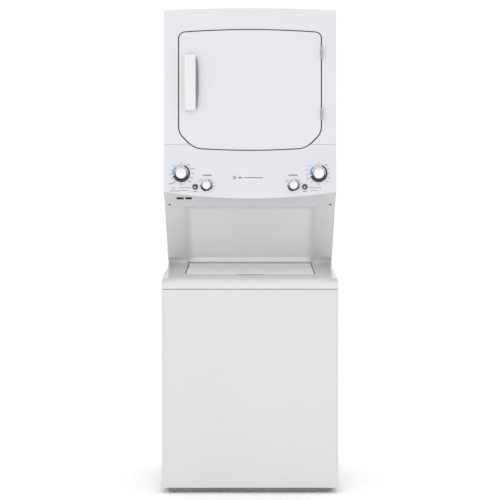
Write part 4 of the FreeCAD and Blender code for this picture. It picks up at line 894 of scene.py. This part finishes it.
def recess():
    half = HALF - 1.6
    wide, narrow = np.array([264.0, 3.0, 320.0]), np.array([246.0, 16.0, 292.0])

    def relief(points):
        t = share_within(points, wide[0], wide[1:], np.abs(wide - narrow))
        return -SUNK_DEEP * (0.55 * np.clip(t, 0, 1) + 0.45 * ease(t))

    marks = []
    for t in (0.0, 0.15, 0.35, 0.65, 0.85, 1.0):
        x, low, high = wide + (narrow - wide) * t
        marks.append(trace(rounded((-x, x), (low, high), 0.5)))
    outer = loop(trace(rounded((-half, half), (0, SLOPE.length), 1.5)), 0.8)
    slots = []
    for ends in VENTS:
        heights = SLOPE.at_height(VENT_LOW), SLOPE.at_height(VENT_HIGH)
        slots.append(loop(trace(rounded(ends, heights, 1.5)), 0.5, shifted(0, 3, 3)))
    piece = panel("recess_sheet", [outer, *slots], SLOPE.place, relief=relief, marks=marks, step=18)
    finish_piece(piece, "cabinet", M["recess"], ["recess_panel"])
    # A dark block behind the vent slots: painted shade for the hollow seen through them.
    low, high = (VENTS[0][0] - 3, FRONT + 185, VENT_LOW - 1), (-229, FRONT + 193, VENT_HIGH + 6)
    dark = rounded_block("vent_painted_shade", low, high, 1.0)
    finish_piece(dark, "cabinet", M["shadow"])
    for side, name in SIDES:
        waist_cove(side, "waist_cove_" + name)


def waist_cove(side, name):
    """The deck's back corner beside the lid, which rises in a curve to meet the sloping panel."""
    start = DECK.place(np.array([0.0]), np.array([DECK.at_depth(400)]), np.array([0.2]))[0]
    corner = np.array([0, FRONT + WAIST_BACK + 1, WAIST])
    end = SLOPE.place(np.array([0.0]), np.array([30.0]), np.array([0.2]))[0]
    section = [start * (1 - t) ** 2 + corner * 2 * t * (1 - t) + end * t**2 for t in np.linspace(0, 1, 13)]
    section.append(corner + np.array([0, 2.0, -1.0]))
    stations = np.linspace(LID_HALF + 6, HALF - 2.4, 8)
    points = [spot + np.array([side * x, 0, 0]) for x in stations for spot in section]
    count, total = len(section), len(points)
    faces = tube_faces(len(stations), count)
    faces += [tuple(range(count))[::-1], tuple(range(total - count, total))]
    if side > 0:
        faces = [f[::-1] for f in faces]
    piece = add_mesh(name, points, faces)
    modify(piece, "BEVEL", width=1.0 * MM, segments=2, limit_method="ANGLE", angle_limit=math.radians(50))
    finish_piece(settle(piece), "cabinet", M["deck"])


# ------------------------------------------------------------
# Dryer front, door and console
# ------------------------------------------------------------
DRYER_FRONT, DRYER_BOW, DOOR_PROUD = 133.0, 16.0, 1.5
GAP, DOOR_SHRINK = 3.1, 0.5
DOOR_CORNER, DOOR_KNEE, DOOR_HEEL, DOOR_TOP_ARC, DOOR_FOOT_ARC = 24.0, 60.0, 80.0, 4132.0, 2826.0
MOUTH_HALF, MOUTH_LOW, MOUTH_HIGH, MOUTH_ROUND = 205.0, 1395.0, 1745.0, 70.0
GAP_SHADE_DEPTH, POCKET_WALL = 137.5, 24.0
HINGE_LONG, HINGE_DEPTH = 50.0, 121.0
DISH_DEEP, DISH_NEAR, DISH_FAR = 3.2, 5.0, 28.0
DOOR_EDGE_ROLL, SEAM_ROLL, SEAM_GAP = 2.2, 1.2, 0.6
CONSOLE_RISE, PAD_RAMP = 27.0, 5.0
CONSOLE_HEIGHTS = (CONSOLE_LOW, 1292, 1358)
CONSOLE_SIDES, CONSOLE_CENTRES = (117, 122, 131), (97, 104, 114.5)


def hinge_places():
    """The heights of the two hinges, and where their pins stand."""
    low, high = span("door_hinges")
    return (low[2] + HINGE_LONG / 2, high[2] - HINGE_LONG / 2), high[0] - 4.2


HINGE_ZS, HINGE_X = hinge_places()


def dryer_face(x, z):
    return DRYER_FRONT - bow(np.clip(x, -HALF, HALF), HALF, DRYER_BOW)


def door_face(x, z):
    return dryer_face(x, z) - DOOR_PROUD


def console_face(x, z):
    """The console's depth: it leans back in two smoothed slopes and bows out between its sides."""
    spread = np.linspace(-9, 9, 7)
    side, centre = (
        np.mean([np.interp(z + s, CONSOLE_HEIGHTS, depths) for s in spread], axis=0)
        for depths in (CONSOLE_SIDES, CONSOLE_CENTRES)
    )
    return side - bow(np.clip(x, -CONSOLE_HALF, CONSOLE_HALF), CONSOLE_HALF, side - centre)


def door_outline(grow):
    """The door's edge moved out by grow, anticlockwise from its lower right."""
    half = DOOR_HALF + grow
    corner, knee, heel = DOOR_CORNER + grow, DOOR_KNEE + grow, DOOR_HEEL + grow
    cx, cz = DOOR_HALF - DOOR_CORNER, DOOR_TOP - 32.1
    kx, kz = DOOR_HALF - DOOR_KNEE, DOOR_LOW + 93.8
    hx, hz = DOOR_HALF - 95.9, DOOR_LOW + 86.2
    slope, tilt, diagonal = math.radians(3.6), math.radians(3.88), math.sqrt(0.5)
    right = [
        (hx + heel * math.sin(tilt), hz - heel * math.cos(tilt), (heel, 1)),
        (hx + heel * diagonal, hz - heel * diagonal),
        (kx + knee * diagonal, kz - knee * diagonal, (knee, 1)),
        (half, kz),
        (half, cz, (corner, 1)),
        (cx + corner * math.sin(slope), cz + corner * math.cos(slope), (DOOR_TOP_ARC + grow, 1)),
    ]
    left = [
        (-right[5][0], right[5][1], (corner, 1)),
        (-half, cz),
        (-half, kz, (knee, 1)),
        (-right[2][0], right[2][1]),
        (-right[1][0], right[1][1], (heel, 1)),
        (-right[0][0], right[0][1], (DOOR_FOOT_ARC + grow, 1)),
    ]
    return right + left


def split_at(points, height):
    """The open run of a closed loop's points above a height, from its right crossing to its left one."""
    above = points[:, 1] > height
    start = next(i for i in range(len(points)) if above[i] and not above[i - 1])
    rolled = np.roll(points, -start, axis=0)
    count = int(np.argmin(rolled[:, 1] > height)) or len(rolled)
    run = rolled[:count]
    first, last = rolled[-1], rolled[count % len(rolled)]

    def crossing(a, b):
        return a + (b - a) * (height - a[1]) / (b[1] - a[1])

    return np.vstack([crossing(first, run[0]), run, crossing(run[-1], last)])


def round_door(notch, rim, seam, roll):
    """The edge of a panel round the door: the notch that the door leaves, then the rim's corners, which
    start and end on the seam. Gives its points, which of them are the notch's, and its roll radii."""
    rim = [(notch[-1][0], seam), *rim, (notch[0][0], seam)]
    points = np.vstack([notch, trace(rim, closed=False)[1:-1]])
    is_door = np.arange(len(points)) < len(notch)
    at_seam = np.abs(points[:, 1] - seam) < 1
    return points, is_door, np.where(is_door, DOOR_EDGE_ROLL, np.where(at_seam, SEAM_ROLL, roll(points)))


def dryer_front():
    low, high = CONSOLE_HIGH + SEAM_GAP, span("dryer_top_panel")[1][2]
    door = trace(door_outline(GAP), step=8)
    notch = split_at(door, low)[::-1]
    corner = 9.0
    rim = [
        (HALF, low), (HALF, high - corner, (corner, 1)),
        (HALF - corner, high, (arc_radius(HALF - corner, CROWN_TOP - high), 1)),
        (-HALF + corner, high, (corner, 1)), (-HALF, high - corner), (-HALF, low),
    ]  # fmt: skip
    points, is_door, roll = round_door(notch, rim, low, lambda p: side_heavy(p, 7, 5))

    def dish(points):
        return -DISH_DEEP * ease((DISH_FAR - distance(points, door)) / (DISH_FAR - DISH_NEAR))

    rings = [DISH_NEAR, 10, 15, 20, 25, DISH_FAR, 33]
    mask = is_door & (np.arange(len(points)) > 3) & (np.arange(len(points)) < len(notch) - 4)
    edge = loop(points, roll, back_to(PANEL_BACK), rings, mask)
    piece = panel("dryer_front", [edge], facing(dryer_face), relief=dish, step=15)
    finish_piece(piece, "cabinet", M["dryer"], ["dryer_front_panel"])
    clip = rounded_block("top_clip", (-3.6, FRONT + 117.2, high - 4.4), (3.6, FRONT + 125, high - 0.1), 0.8)
    finish_piece(clip, "cabinet", M["black"])
    pocket()


def pocket():
    """The steel behind the door, with the way into the drum, and the wall round the door."""
    outer = loop(trace(door_outline(GAP + 1), step=8), 0.6, shifted(0, -POCKET_WALL, 0))
    mouth = trace(rounded((-MOUTH_HALF, MOUTH_HALF), (MOUTH_LOW, MOUTH_HIGH), MOUTH_ROUND))
    hole = loop(mouth, 6, back_to(PANEL_BACK + 4))
    piece = panel("door_pocket", [outer, hole], facing(PANEL_BACK - 2), step=22)
    finish_piece(piece, "cabinet", M["drum"])
    # A dark rubber strip down in the door's gap, put there as painted shade so the gap reads dark.
    gap_shade_loops = [
        loop(trace(door_outline(GAP - 0.6), step=8), 0.3, forward_to(5.0)),
        loop(trace(door_outline(-4.3), step=8), 0.3, back_to(151)),
    ]
    piece = panel("door_gap_shade", gap_shade_loops, facing(GAP_SHADE_DEPTH), step=30, thick=0.5)
    finish_piece(piece, "cabinet", M["rubber"])


def console_bottom(x):
    """The height of the console's lower edge, which hangs lowest in the middle."""
    return CONSOLE_LOW + CONSOLE_RISE - bow(x, HALF, CONSOLE_RISE)


def pads():
    """Where the controls sit: (x, z, radius, depth of the flat)."""
    for side in (-1, 1):
        yield side * KNOB_X, KNOB_Z, 35.5, BEZEL
        yield side * DIAL_X, DIAL_Z, 24.6, DIAL_BEZEL
        yield side * START_X, START_Z, 11.5, DIAL_BEZEL


def console():
    door = trace(door_outline(GAP), step=8)
    top = CONSOLE_HIGH
    run = split_at(door, top)
    below = np.array([p for p in np.roll(door, -int(np.argmax(door[:, 1])), axis=0) if p[1] < top])
    notch = np.vstack([run[-1], below, run[0]])[::-1]
    half, corner = CONSOLE_HALF, 6.0
    low, low_inside = (float(console_bottom(x)) for x in (half, half - corner))
    rim = [
        (-half, top), (-half, low + corner, (corner, 1)),
        (-half + corner, low_inside, (arc_radius(HALF, CONSOLE_RISE), 1)),
        (half - corner, low_inside, (corner, 1)), (half, low + corner), (half, top),
    ]  # fmt: skip
    points, _, roll = round_door(notch, rim, top, lambda p: 4.0)
    marks, bumps = [], list(pads())
    for x, z, radius, _ in bumps:
        marks += [circle(x, z, radius + extra, 56) for extra in (-0.6, 0.0, 0.8, 2.0, 3.5, 5.0)]

    def relief(points):
        face = console_face(points[:, 0], points[:, 1])
        rise = np.zeros(len(points))
        for x, z, radius, depth in bumps:
            away = np.hypot(points[:, 0] - x, points[:, 1] - z)
            share = ease((radius + PAD_RAMP - away) / PAD_RAMP)
            rise = np.where(share > 0, (face - depth) * share, rise)
        return rise

    edge = loop(points, roll, back_to(150))
    piece = panel("console_front", [edge], facing(console_face), relief=relief, marks=marks, step=13)
    finish_piece(piece, "cabinet", M["console"], ["console_fascia"])
    under_console()


def under_console():
    """The return that closes the console's underside back to the sloping panel."""

    def place(u, v, out):
        z = console_bottom(np.clip(u, -HALF, HALF)) + 4 + out
        return np.column_stack([u, FRONT + v, z])

    half, near, far = CONSOLE_HALF - 3, 128.0, 168.0
    rim = trace([(-half, near), (half, near), (half, far), (-half, far)])
    piece = panel("console_return", [loop(rim, 0.5)], place, step=14, flip=True)
    finish_piece(piece, "cabinet", M["console"])


HANDLE_LOW, HANDLE_HIGH = span("door_handle")
GRIP_WALL_DEEP, GRIP_WALL_REACH, GRIP_DISH_DEEP, GRIP_DISH_REACH = 19.0, 11.5, 3.0, 34.0
HANDLE_BULGE, HANDLE_LEAN, LEAN_WIDE = 12.0, 2.0, 60.0


def grip_scoop(points):
    """The finger room pressed into the door behind the handle and to its right, where its edge is an arc."""
    u, v = points.T
    mid, half = (HANDLE_LOW[2] + HANDLE_HIGH[2]) / 2, (HANDLE_HIGH[2] - HANDLE_LOW[2]) / 2 - 4
    swell = np.clip(1 - ((v - mid) / half) ** 2, 0, 1)
    left = ease((u - HANDLE_LOW[0] - 5) / 14)
    deep = HANDLE_HIGH[0] - 5
    edges = (HANDLE_HIGH[0] + reach * swell**0.7 for reach in (GRIP_WALL_REACH, GRIP_DISH_REACH))
    wall, dish = (np.clip((edge - u) / np.maximum(edge - deep, 1), 0, 1) for edge in edges)
    return -(GRIP_WALL_DEEP * wall**0.8 + GRIP_DISH_DEEP * dish**2) * left * np.sqrt(swell)


def door():
    edge = loop(trace(door_outline(-DOOR_SHRINK), step=8), 3.2, back_to(134))
    room = ((HANDLE_LOW[0], HANDLE_HIGH[0] + 32), (HANDLE_LOW[2] - 2, HANDLE_HIGH[2] + 2), 4.0)
    skin = panel("door_skin", [edge], facing(door_face), relief=grip_scoop, dots=[room], step=16)
    finish_piece(skin, "door", M["door"], ["door_outer"])
    handle()
    for i, z in enumerate(HINGE_ZS):
        hinge(i, z)


def hinge(index, z):
    """A barrel in three knuckles on its pin, proud of the front; the door's leaf goes in through the gap."""
    x, y, low, high = HINGE_X, FRONT + HINGE_DEPTH, z - HINGE_LONG / 2, z + HINGE_LONG / 2
    third, radius = (high - low) / 3, 3.7
    knuckle = [
        (0.01, 0.2), (radius - 0.9, 0.2, (0.9, 1)), (radius, 1.1), (radius, third - 1.1, (0.9, 1)),
        (radius - 0.9, third - 0.2), (0.01, third - 0.2),
    ]  # fmt: skip
    for k, body in enumerate(("door", "cabinet", "door")):
        parts = [turned("part", knuckle, (x, y, low + k * third), axis="z", count=40)]
        foot, top = low + k * third + 0.6, low + (k + 1) * third - 0.6
        if body == "door":
            parts.append(rounded_block("web", (x - 3.5, y, foot), (x - 2.0, y + 10, top), 0.6))
            parts.append(rounded_block("leaf", (x - 17, y + 8.4, foot), (x - 2.0, y + 10, top), 0.6))
        else:
            parts.append(rounded_block("web", (x - 1.0, y + 1, foot), (x + 3.0, y + 9, top), 0.8))
        piece = join(f"hinge_{index}_{k}", parts)
        finish_piece(piece, body, M["hinge"], ["door_hinges"] if (index, k) == (0, 0) else ())
    cap = [(0.01, 0), (2.2, 0, (1.4, 1)), (2.9, 1.0), (0.01, 1.0)]
    caps = [turned("cap", cap, (x, y, end - 0.5), axis="z", count=32) for end in (low, high)]
    finish_piece(join(f"hinge_pin_{index}", caps), "cabinet", M["zinc"])


def handle():
    low, high = np.array(HANDLE_LOW), np.array(HANDLE_HIGH)
    mid, half = (low[2] + high[2]) / 2, (high[2] - low[2]) / 2
    front, back = low[1], high[1]

    def bulge(points):
        """Bends the bar's front back towards its ends and a little towards its left."""
        moved = points.copy()
        share = np.clip((back - moved[:, 1]) / (back - front), 0, 1)
        moved[:, 1] += HANDLE_BULGE * ((moved[:, 2] - mid) / half) ** 2 * share
        lean = np.clip((HANDLE_LOW[0] + LEAN_WIDE - moved[:, 0]) / LEAN_WIDE, 0, 1)
        moved[:, 1] += HANDLE_LEAN * lean * share
        return moved

    bar = rounded_block("door_grip", low, high, 5.5, bulge)
    room_low = (low[0] + 13, front + 14, low[2] + 15)
    room_high = (high[0] + 20, back + 20, high[2] - 15)
    room = rounded_block("grip_room", room_low, room_high, 6.0, bulge)
    modify(bar, "BOOLEAN", object=room, operation="DIFFERENCE", solver="EXACT")
    settle(bar)
    bpy.data.objects.remove(room)
    modify(bar, "BEVEL", width=1.2 * MM, segments=3, limit_method="ANGLE", angle_limit=math.radians(50))
    settle(bar)
    finish_piece(bar, "door", M["handle"], ["door_handle"])


# ------------------------------------------------------------
# Controls
# ------------------------------------------------------------


def knob(node, x, z, depth, scale):
    """A fluted cap with a pointer, in a chromed ring that stays on the console."""
    s, spot = scale, (x, FRONT + depth, z)
    ring = [
        (22.0 * s, 0.3), (28.4 * s, 0.3, (1.0, 1)), (28.9 * s, 1.4), (27.4 * s, 4.6, (2.2, 1)),
        (25.0 * s, 5.6), (22.6 * s, 4.6), (22.0 * s, 0.4),
    ]  # fmt: skip
    cap = [
        (21.6 * s, 0.9), (21.4 * s, 6.0), (20.4 * s, 21.0 * s, (3.4, 1)), (17.2 * s, 24.4 * s, (150 * s, 1)),
        (0.01, 25.3 * s),
    ]  # fmt: skip
    # the ring's chrome carries a painted reflection, dark on its lower half
    finish_piece(turned(node + "_trim", ring, spot, count=96), "cabinet", trim_painted_reflection(x, z))
    top = turned(node + "_cap", cap, spot, count=144, flutes=(24, 0.55, 6.0, 20.6 * s))
    finish_piece(top, node, M["knob"], [node])
    low = (x - 0.9, FRONT + depth - 25.4 * s, z + 8 * s)
    mark = rounded_block(node + "_pointer", low, (x + 0.9, FRONT + depth - 24.4 * s, z + 17 * s), 0.3)
    finish_piece(mark, node, M["print_light"])


def start_button(node, x, z):
    """A dished chrome button with a small pale disc set off centre on it, a painted highlight."""
    dome = [
        (9.6, -8), (9.6, 2.2, (1.6, 1)), (8.4, 4.0), (7.4, 4.0, (1.5, -1)), (6.2, 3.6, (14, 1)), (0.01, 5.2),
    ]  # fmt: skip
    lens = [(2.8, 3.5), (2.8, 5.2, (0.8, 1)), (2.0, 5.9, (9, 1)), (0.01, 6.1)]
    y = FRONT + DIAL_BEZEL
    finish_piece(turned(node + "_dome", dome, (x, y, z), count=72), node, M["button"], [node])
    # the pale disc, low and to the left of the middle, is a painted highlight
    finish_piece(turned(node + "_painted_highlight", lens, (x - 1.5, y, z - 2.0), count=40), node, M["knob"])


INK = 0.12


def around(x, z, radius, clock):
    """The place at an angle in degrees, clockwise from the top, round a dial."""
    angle = math.radians(90 - clock)
    return x + radius * math.cos(angle), z + radius * math.sin(angle)


def band(name, x, z, depth, radii, start, end, material):
    """A printed arc on a pad, from one angle to another."""
    count = max(4, int((end - start) / 4))
    points, faces = [], []
    for k in range(count + 1):
        for radius in radii:
            u, v = around(x, z, radius, start + (end - start) * k / count)
            points += [(u, FRONT + depth - INK, v), (u, FRONT + depth + 0.05, v)]
    for k in range(count):
        a, b = 4 * k, 4 * (k + 1)
        faces += [(a, a + 2, b + 2, b), (a + 1, b + 1, b + 3, a + 3)]
        faces += [(a, b, b + 1, a + 1), (a + 2, a + 3, b + 3, b + 2)]
    faces += [(0, 1, 3, 2), (4 * count, 4 * count + 2, 4 * count + 3, 4 * count + 1)]
    finish_piece(add_mesh(name, points, faces), "cabinet", material)


def dashes(cells):
    """Printed marks as one mesh: each cell is (x, z, width, height), centred, lying on the console."""
    points, faces = [], []
    for x, z, width, height in cells:
        base = len(points)
        for dx, dz in ((-1, -1), (1, -1), (1, 1), (-1, 1)):
            u, v = x + dx * width / 2, z + dz * height / 2
            y = FRONT + console_face(np.array([u]), np.array([v]))[0]
            points += [(u, y - INK, v), (u, y + 0.1, v)]
        corner = [base + 2 * k for k in range(4)]
        faces.append(corner)
        for k in range(4):
            a, b = corner[k], corner[(k + 1) % 4]
            faces.append((a, a + 1, b + 1, b))
    return points, faces


def word(x, z, length, height=2.9, anchor=0.0):
    """A row of short marks that stands for a printed word; anchor moves it left (1) or right (0) of x."""
    cells, at = [], 0.0
    while at < length:
        letter = float(RNG.uniform(1.1, 2.0))
        tall = height * float(RNG.uniform(0.75, 1.0))
        cells.append((x + at + letter / 2 - anchor * length, z, letter, tall))
        at += letter + 0.55
    return cells


KNOB_WORDS = {  # angle: the word's length on the washer's dial and on the dryer's
    32: (13, 14), 62: (15, 5), 90: (12, 6), 116: (9, 8), 142: (14, 11),
    212: (13, 9), 240: (6, 12), 264: (7, 9), 292: (9, 12), 318: (12, 15),
}  # fmt: skip
DIAL_WORDS = {40: 8, 70: 6, 98: 7, 122: 5, 320: 13, 300: 8}
BADGE_Z = 1226.0


def print_marks():
    marks = {"dark": [], "blue": [], "light": [(-302, START_Z - 5, 14, 9)]}
    dark = marks["dark"]
    for side in (-1, 1):
        x = side * KNOB_X
        for clock, lengths in KNOB_WORDS.items():
            spot, length = around(x, KNOB_Z, 40, clock), lengths[side > 0]
            marks["blue" if clock > 280 else "dark"] += word(*spot, length, anchor=float(clock > 180))
        dark += word(x, KNOB_Z + 42, 3.0, 3.4, anchor=0.5)
        dark += word(x, KNOB_Z - 41.5, 11, 2.8, anchor=0.5)
        x = side * DIAL_X
        dark += word(x - side * 3, DIAL_Z + 40, 36, 4.8, anchor=0.5)
        dark += word(x, DIAL_Z + 29, 3, 2.6, anchor=0.5)
        for clock, length in DIAL_WORDS.items():
            dark += word(*around(x, DIAL_Z, 28, clock), length, 2.2, anchor=float(clock > 180))
        x = side * START_X
        dark += word(x, START_Z - 18, 15, 3.2, anchor=0.5)
        row = x + (14 if side > 0 else -66)
        for k in range(4):
            dark.append((row + 6 + k * 12, START_Z - 3, 2.2, 5.0))
            dark += word(row + 8.5 + k * 12, START_Z - 3, 5.5, 2.2)
        dark.append((row + 22, START_Z - 13.5, 32, 1.5))
    dark += [(-312, START_Z + 13, 16, 2.4), (-296, START_Z - 16, 40, 2.2)]
    for kind, cells in marks.items():
        finish_piece(add_mesh("marks_" + kind, *dashes(cells)), "cabinet", M["print_" + kind])


def badge():
    """A plain square, tile and bar in the middle of the console."""
    face = float(console_face(np.array([0.0]), np.array([BADGE_Z]))[0])
    for part, left, right, half, color in (
        ("tab", -67.0, -55.0, 6.0, "blue"), ("stub", -45.0, -33.0, 3.4, "grey"),
        ("bar", -25.0, 50.0, 1.5, "grey"),
    ):  # fmt: skip
        low, high = (left, FRONT + face - 0.5, BADGE_Z - half), (right, FRONT + face + 1, BADGE_Z + half)
        finish_piece(rounded_block("badge_" + part, low, high, 0.45), "cabinet", M["badge_" + color])


def rings():
    knob_bands = (("dark", 22, 252, "dark"), ("blue", 262, 322, "blue"), ("light", 328, 376, "light"))
    dial_bands = (("dark", 14, 128, "dark"), ("low", 188, 276, "dark"), ("top", -60, 8, "light"))
    for side, name in ((-1, "washer"), (1, "dryer")):
        for place, x, z, depth, radii, bands in (
            ("ring", KNOB_X, KNOB_Z, BEZEL, (29.2, 35.2), knob_bands),
            ("dial", DIAL_X, DIAL_Z, DIAL_BEZEL, (22.1, 24.5), dial_bands),
            ("start", START_X, START_Z, DIAL_BEZEL, (9.8, 11.6), (("ring", 0, 360, "dark"),)),
        ):  # fmt: skip
            for part, start, end, color in bands:
                band(f"{name}_{place}_{part}", side * x, z, depth, radii, start, end, M["print_" + color])


def controls():
    for side, name, dial in ((-1, "washer", "temp"), (1, "dryer", "heat")):
        knob(name + "_cycle_knob", side * KNOB_X, KNOB_Z, BEZEL, 1.0)
        knob(f"{name}_{dial}_knob", side * DIAL_X, DIAL_Z, DIAL_BEZEL, 0.76)
        start_button(name + "_start_button", side * START_X, START_Z)
    rings()
    print_marks()
    badge()


# ------------------------------------------------------------
# Back, sides and inside
# ------------------------------------------------------------


def turned_back(name, outline, x, y, z, **more):
    """A turned piece that faces the back."""
    piece = turned(name, outline, (0, 0, 0), **more)
    for vertex in piece.data.vertices:
        across, along, up = vertex.co
        vertex.co = (x * MM - across, y * MM - along, z * MM + up)
    return piece


def screw_heads(name, places, depth):
    """Hexagon-headed screws on the back, as one piece."""
    head = [
        (5.6, 0), (5.6, 0.6, (0.3, 1)), (5.2, 0.9), (4.4, 0.9), (4.4, 2.6, (0.7, 1)), (3.7, 3.1),
        (0.01, 3.2),
    ]  # fmt: skip
    hexagon = (6, 0.45, 0.95, 3.2)
    parts = [turned_back("screw", head, x, depth, z, count=24, flutes=hexagon) for x, z in places]
    finish_piece(join(name, parts), "cabinet", M["zinc"])


def back_of_dryer():
    (low_x, _, low_z), (high_x, back, high_z) = span("dryer_rear_panel")
    columns = np.linspace(low_x + 9, high_x - 9, 5)
    rows = np.linspace(low_z + 12, high_z - 12, 7)
    places = [(x, z) for z in (rows[0], rows[-1]) for x in columns]
    places += [(x, z) for z in rows[1:-1] for x in (columns[0], columns[-1])]
    screw_heads("rear_screws", places, back)
    for i, z in enumerate((1480, 1600, 1720)):
        low, high = (low_x + 70, back - 3, z - 11), (high_x - 70, back + 3, z + 11)
        finish_piece(rounded_block(f"rear_rib_{i}", low, high, 2.8), "cabinet", M["zinc_sheet"])
    ring = [
        (14.3, -3), (18.6, -3), (18.6, 1.6, (1.4, 1)), (17.2, 3.0), (15.6, 3.0, (1.3, 1)), (14.3, 1.7),
        (14.3, -3),
    ]  # fmt: skip
    finish_piece(turned_back("inlet_grommet", ring, 230, back, 1010, count=48), "cabinet", M["black"])
    duct_x, _, duct_z = middle("exhaust_duct")
    duct_back = span("exhaust_duct")[1][1]
    bead = [(50.3, 0), (51.6, 1.4, (1.6, 1)), (51.6, 3.4), (50.3, 4.8)]
    beads = [turned_back("bead", bead, duct_x, duct_back - far, duct_z, count=72) for far in (24, 10)]
    finish_piece(join("exhaust_beads", beads), "cabinet", M["zinc_sheet"])


def back_of_washer():
    (_, _, low), (_, back, high) = span("washer_cabinet")
    places = [(side * (HALF - 10), z) for side in (-1, 1) for z in np.linspace(low + 14, high - 14, 5)]
    screw_heads("cabinet_screws", places, back)
    for i, x in enumerate((-210, 0, 210)):
        ends = (x - 12, back - 3, 110), (x + 12, back + 3, 640)
        finish_piece(rounded_block(f"cabinet_rib_{i}", *ends, 2.8), "cabinet", M["white"])
    (left, _, _), (right, end, _) = span("water_valve")
    height = middle("water_valve")[2]
    root, crest, pitch = 13.1, 13.8, 2.1
    thread = [(root, -13.0)]
    for foot in (-12.4 + pitch * turn for turn in range(6)):
        thread += [(root, foot), (crest, foot + pitch / 3), (root, foot + pitch * 2 / 3)]
    collar = [(13.2, -14.0), (16.0, -14.0), (16.0, -12.6, (0.8, 1)), (15.2, -11.8), (13.2, -11.8)]
    for name, x, finish in (("hot", left + 20, "valve_red"), ("cold", right - 20, "print_blue")):
        for part, outline, paint in (("thread", thread, "grey"), ("collar", collar, finish)):
            piece = turned_back(f"{name}_{part}", outline, x, end, height, count=40)
            finish_piece(piece, "cabinet", M[paint])


def discs(name, body, places, spot):
    """Small round holes drawn as dark discs of painted shade. spot(place, across, up) is a point on a disc's
    edge.
    """
    turns = [2 * math.pi * side / 8 for side in range(8)]
    points = [spot(place, math.cos(turn), math.sin(turn)) for place in places for turn in turns]
    faces = np.arange(len(points)).reshape(-1, len(turns)).tolist()
    finish_piece(add_mesh(name, points, faces), body, M["shadow"])


HUB_LONG = 35.0
BASKET_HOLE, DRUM_HOLE = 1.9, 3.0


def insides():
    low, high = span("wash_basket")
    centre = middle("wash_basket")
    radius = (high[0] - low[0]) / 2 - BASKET_HOLE
    count = 40
    rows = enumerate(np.arange(low[2] + 60, high[2] - 20, 26))
    places = [(2 * math.pi * (k + 0.5 * (i % 2)) / count, z) for i, z in rows for k in range(count)]

    def on_wall(place, across, up):
        swing = place[0] + BASKET_HOLE * across / radius
        x, y = centre[0] + radius * math.cos(swing), centre[1] + radius * math.sin(swing)
        return x, y, place[1] + BASKET_HOLE * up

    discs("basket_holes", "basket", places, on_wall)
    x, _, z = middle("dryer_drum")
    wall = span("dryer_drum")[1][1] - HUB_LONG - 1.6
    circles = [circle(x, z, 70 + 35 * i, 16 + 8 * i) for i in range(6)]

    def on_back(place, across, up):
        return place[0] + DRUM_HOLE * across, wall, place[1] + DRUM_HOLE * up

    discs("drum_back_holes", "drum", np.vstack(circles), on_back)


# ------------------------------------------------------------
# Room, lights and camera
# ------------------------------------------------------------


def floor():
    far = 14000.0
    corners = [(-far, -far, 0), (far, -far, 0), (far, far, 0), (-far, far, 0)]
    piece = add_mesh("floor", corners, [(0, 1, 2, 3)])
    glow = {"Roughness": 0.8, "Emission Color": (1, 1, 1, 1), "Emission Strength": 0.06}
    piece.data.materials.append(Nodes("floor_pale").finish((0.98, 0.98, 0.98, 1), glow))


def lamp(name, where, aim, size, power):
    light = bpy.data.lights.new(name, "AREA")
    light.shape = "DISK"
    light.size = size
    light.energy = power
    piece = bpy.data.objects.new(name, light)
    piece.location = where
    piece.rotation_mode = "QUATERNION"
    piece.rotation_quaternion = (Vector(aim) - Vector(where)).to_track_quat("-Z", "Y")
    bpy.context.scene.collection.objects.link(piece)


def lights():
    world = bpy.data.worlds.new("studio")
    bpy.context.scene.world = world
    world.use_nodes = True
    background = world.node_tree.nodes["Background"]
    background.inputs["Color"].default_value = (1, 1, 1, 1)
    background.inputs["Strength"].default_value = 1.02
    lamp("key", (-2.8, -3.4, 3.2), (0, 0, 1.0), 1.2, 9)
    lamp("top", (0.4, -1.2, 4.6), (0, 0, 0.6), 2.6, 3)
    lamp("fill", (0.2, -3.2, 0.6), (0, 0, 0.9), 1.8, 6)
    lamp("back", (0.5, 4.0, 3.0), (0, 0, 1.0), 3.0, 16)
    bpy.context.scene.view_settings.view_transform = "Standard"


def camera():
    """Level and square to the front, at the middle of the unit's height, as the photograph was taken."""
    data = bpy.data.cameras.new("camera")
    data.sensor_width = 36.0
    data.lens = 96.9
    data.clip_end = 60.0
    piece = bpy.data.objects.new("camera", data)
    piece.location = (0, FRONT * MM - 5.2, 0.941)
    piece.rotation_euler = (math.radians(90), 0, 0)
    bpy.context.scene.collection.objects.link(piece)
    bpy.context.scene.camera = piece


for build in (
    camera, lights, floor, dress_cad, washer_front, washer_deck, washer_lid, lid_seat, recess,
    dryer_front, door, console, controls, back_of_dryer, back_of_washer, insides,
):  # fmt: skip
    build()
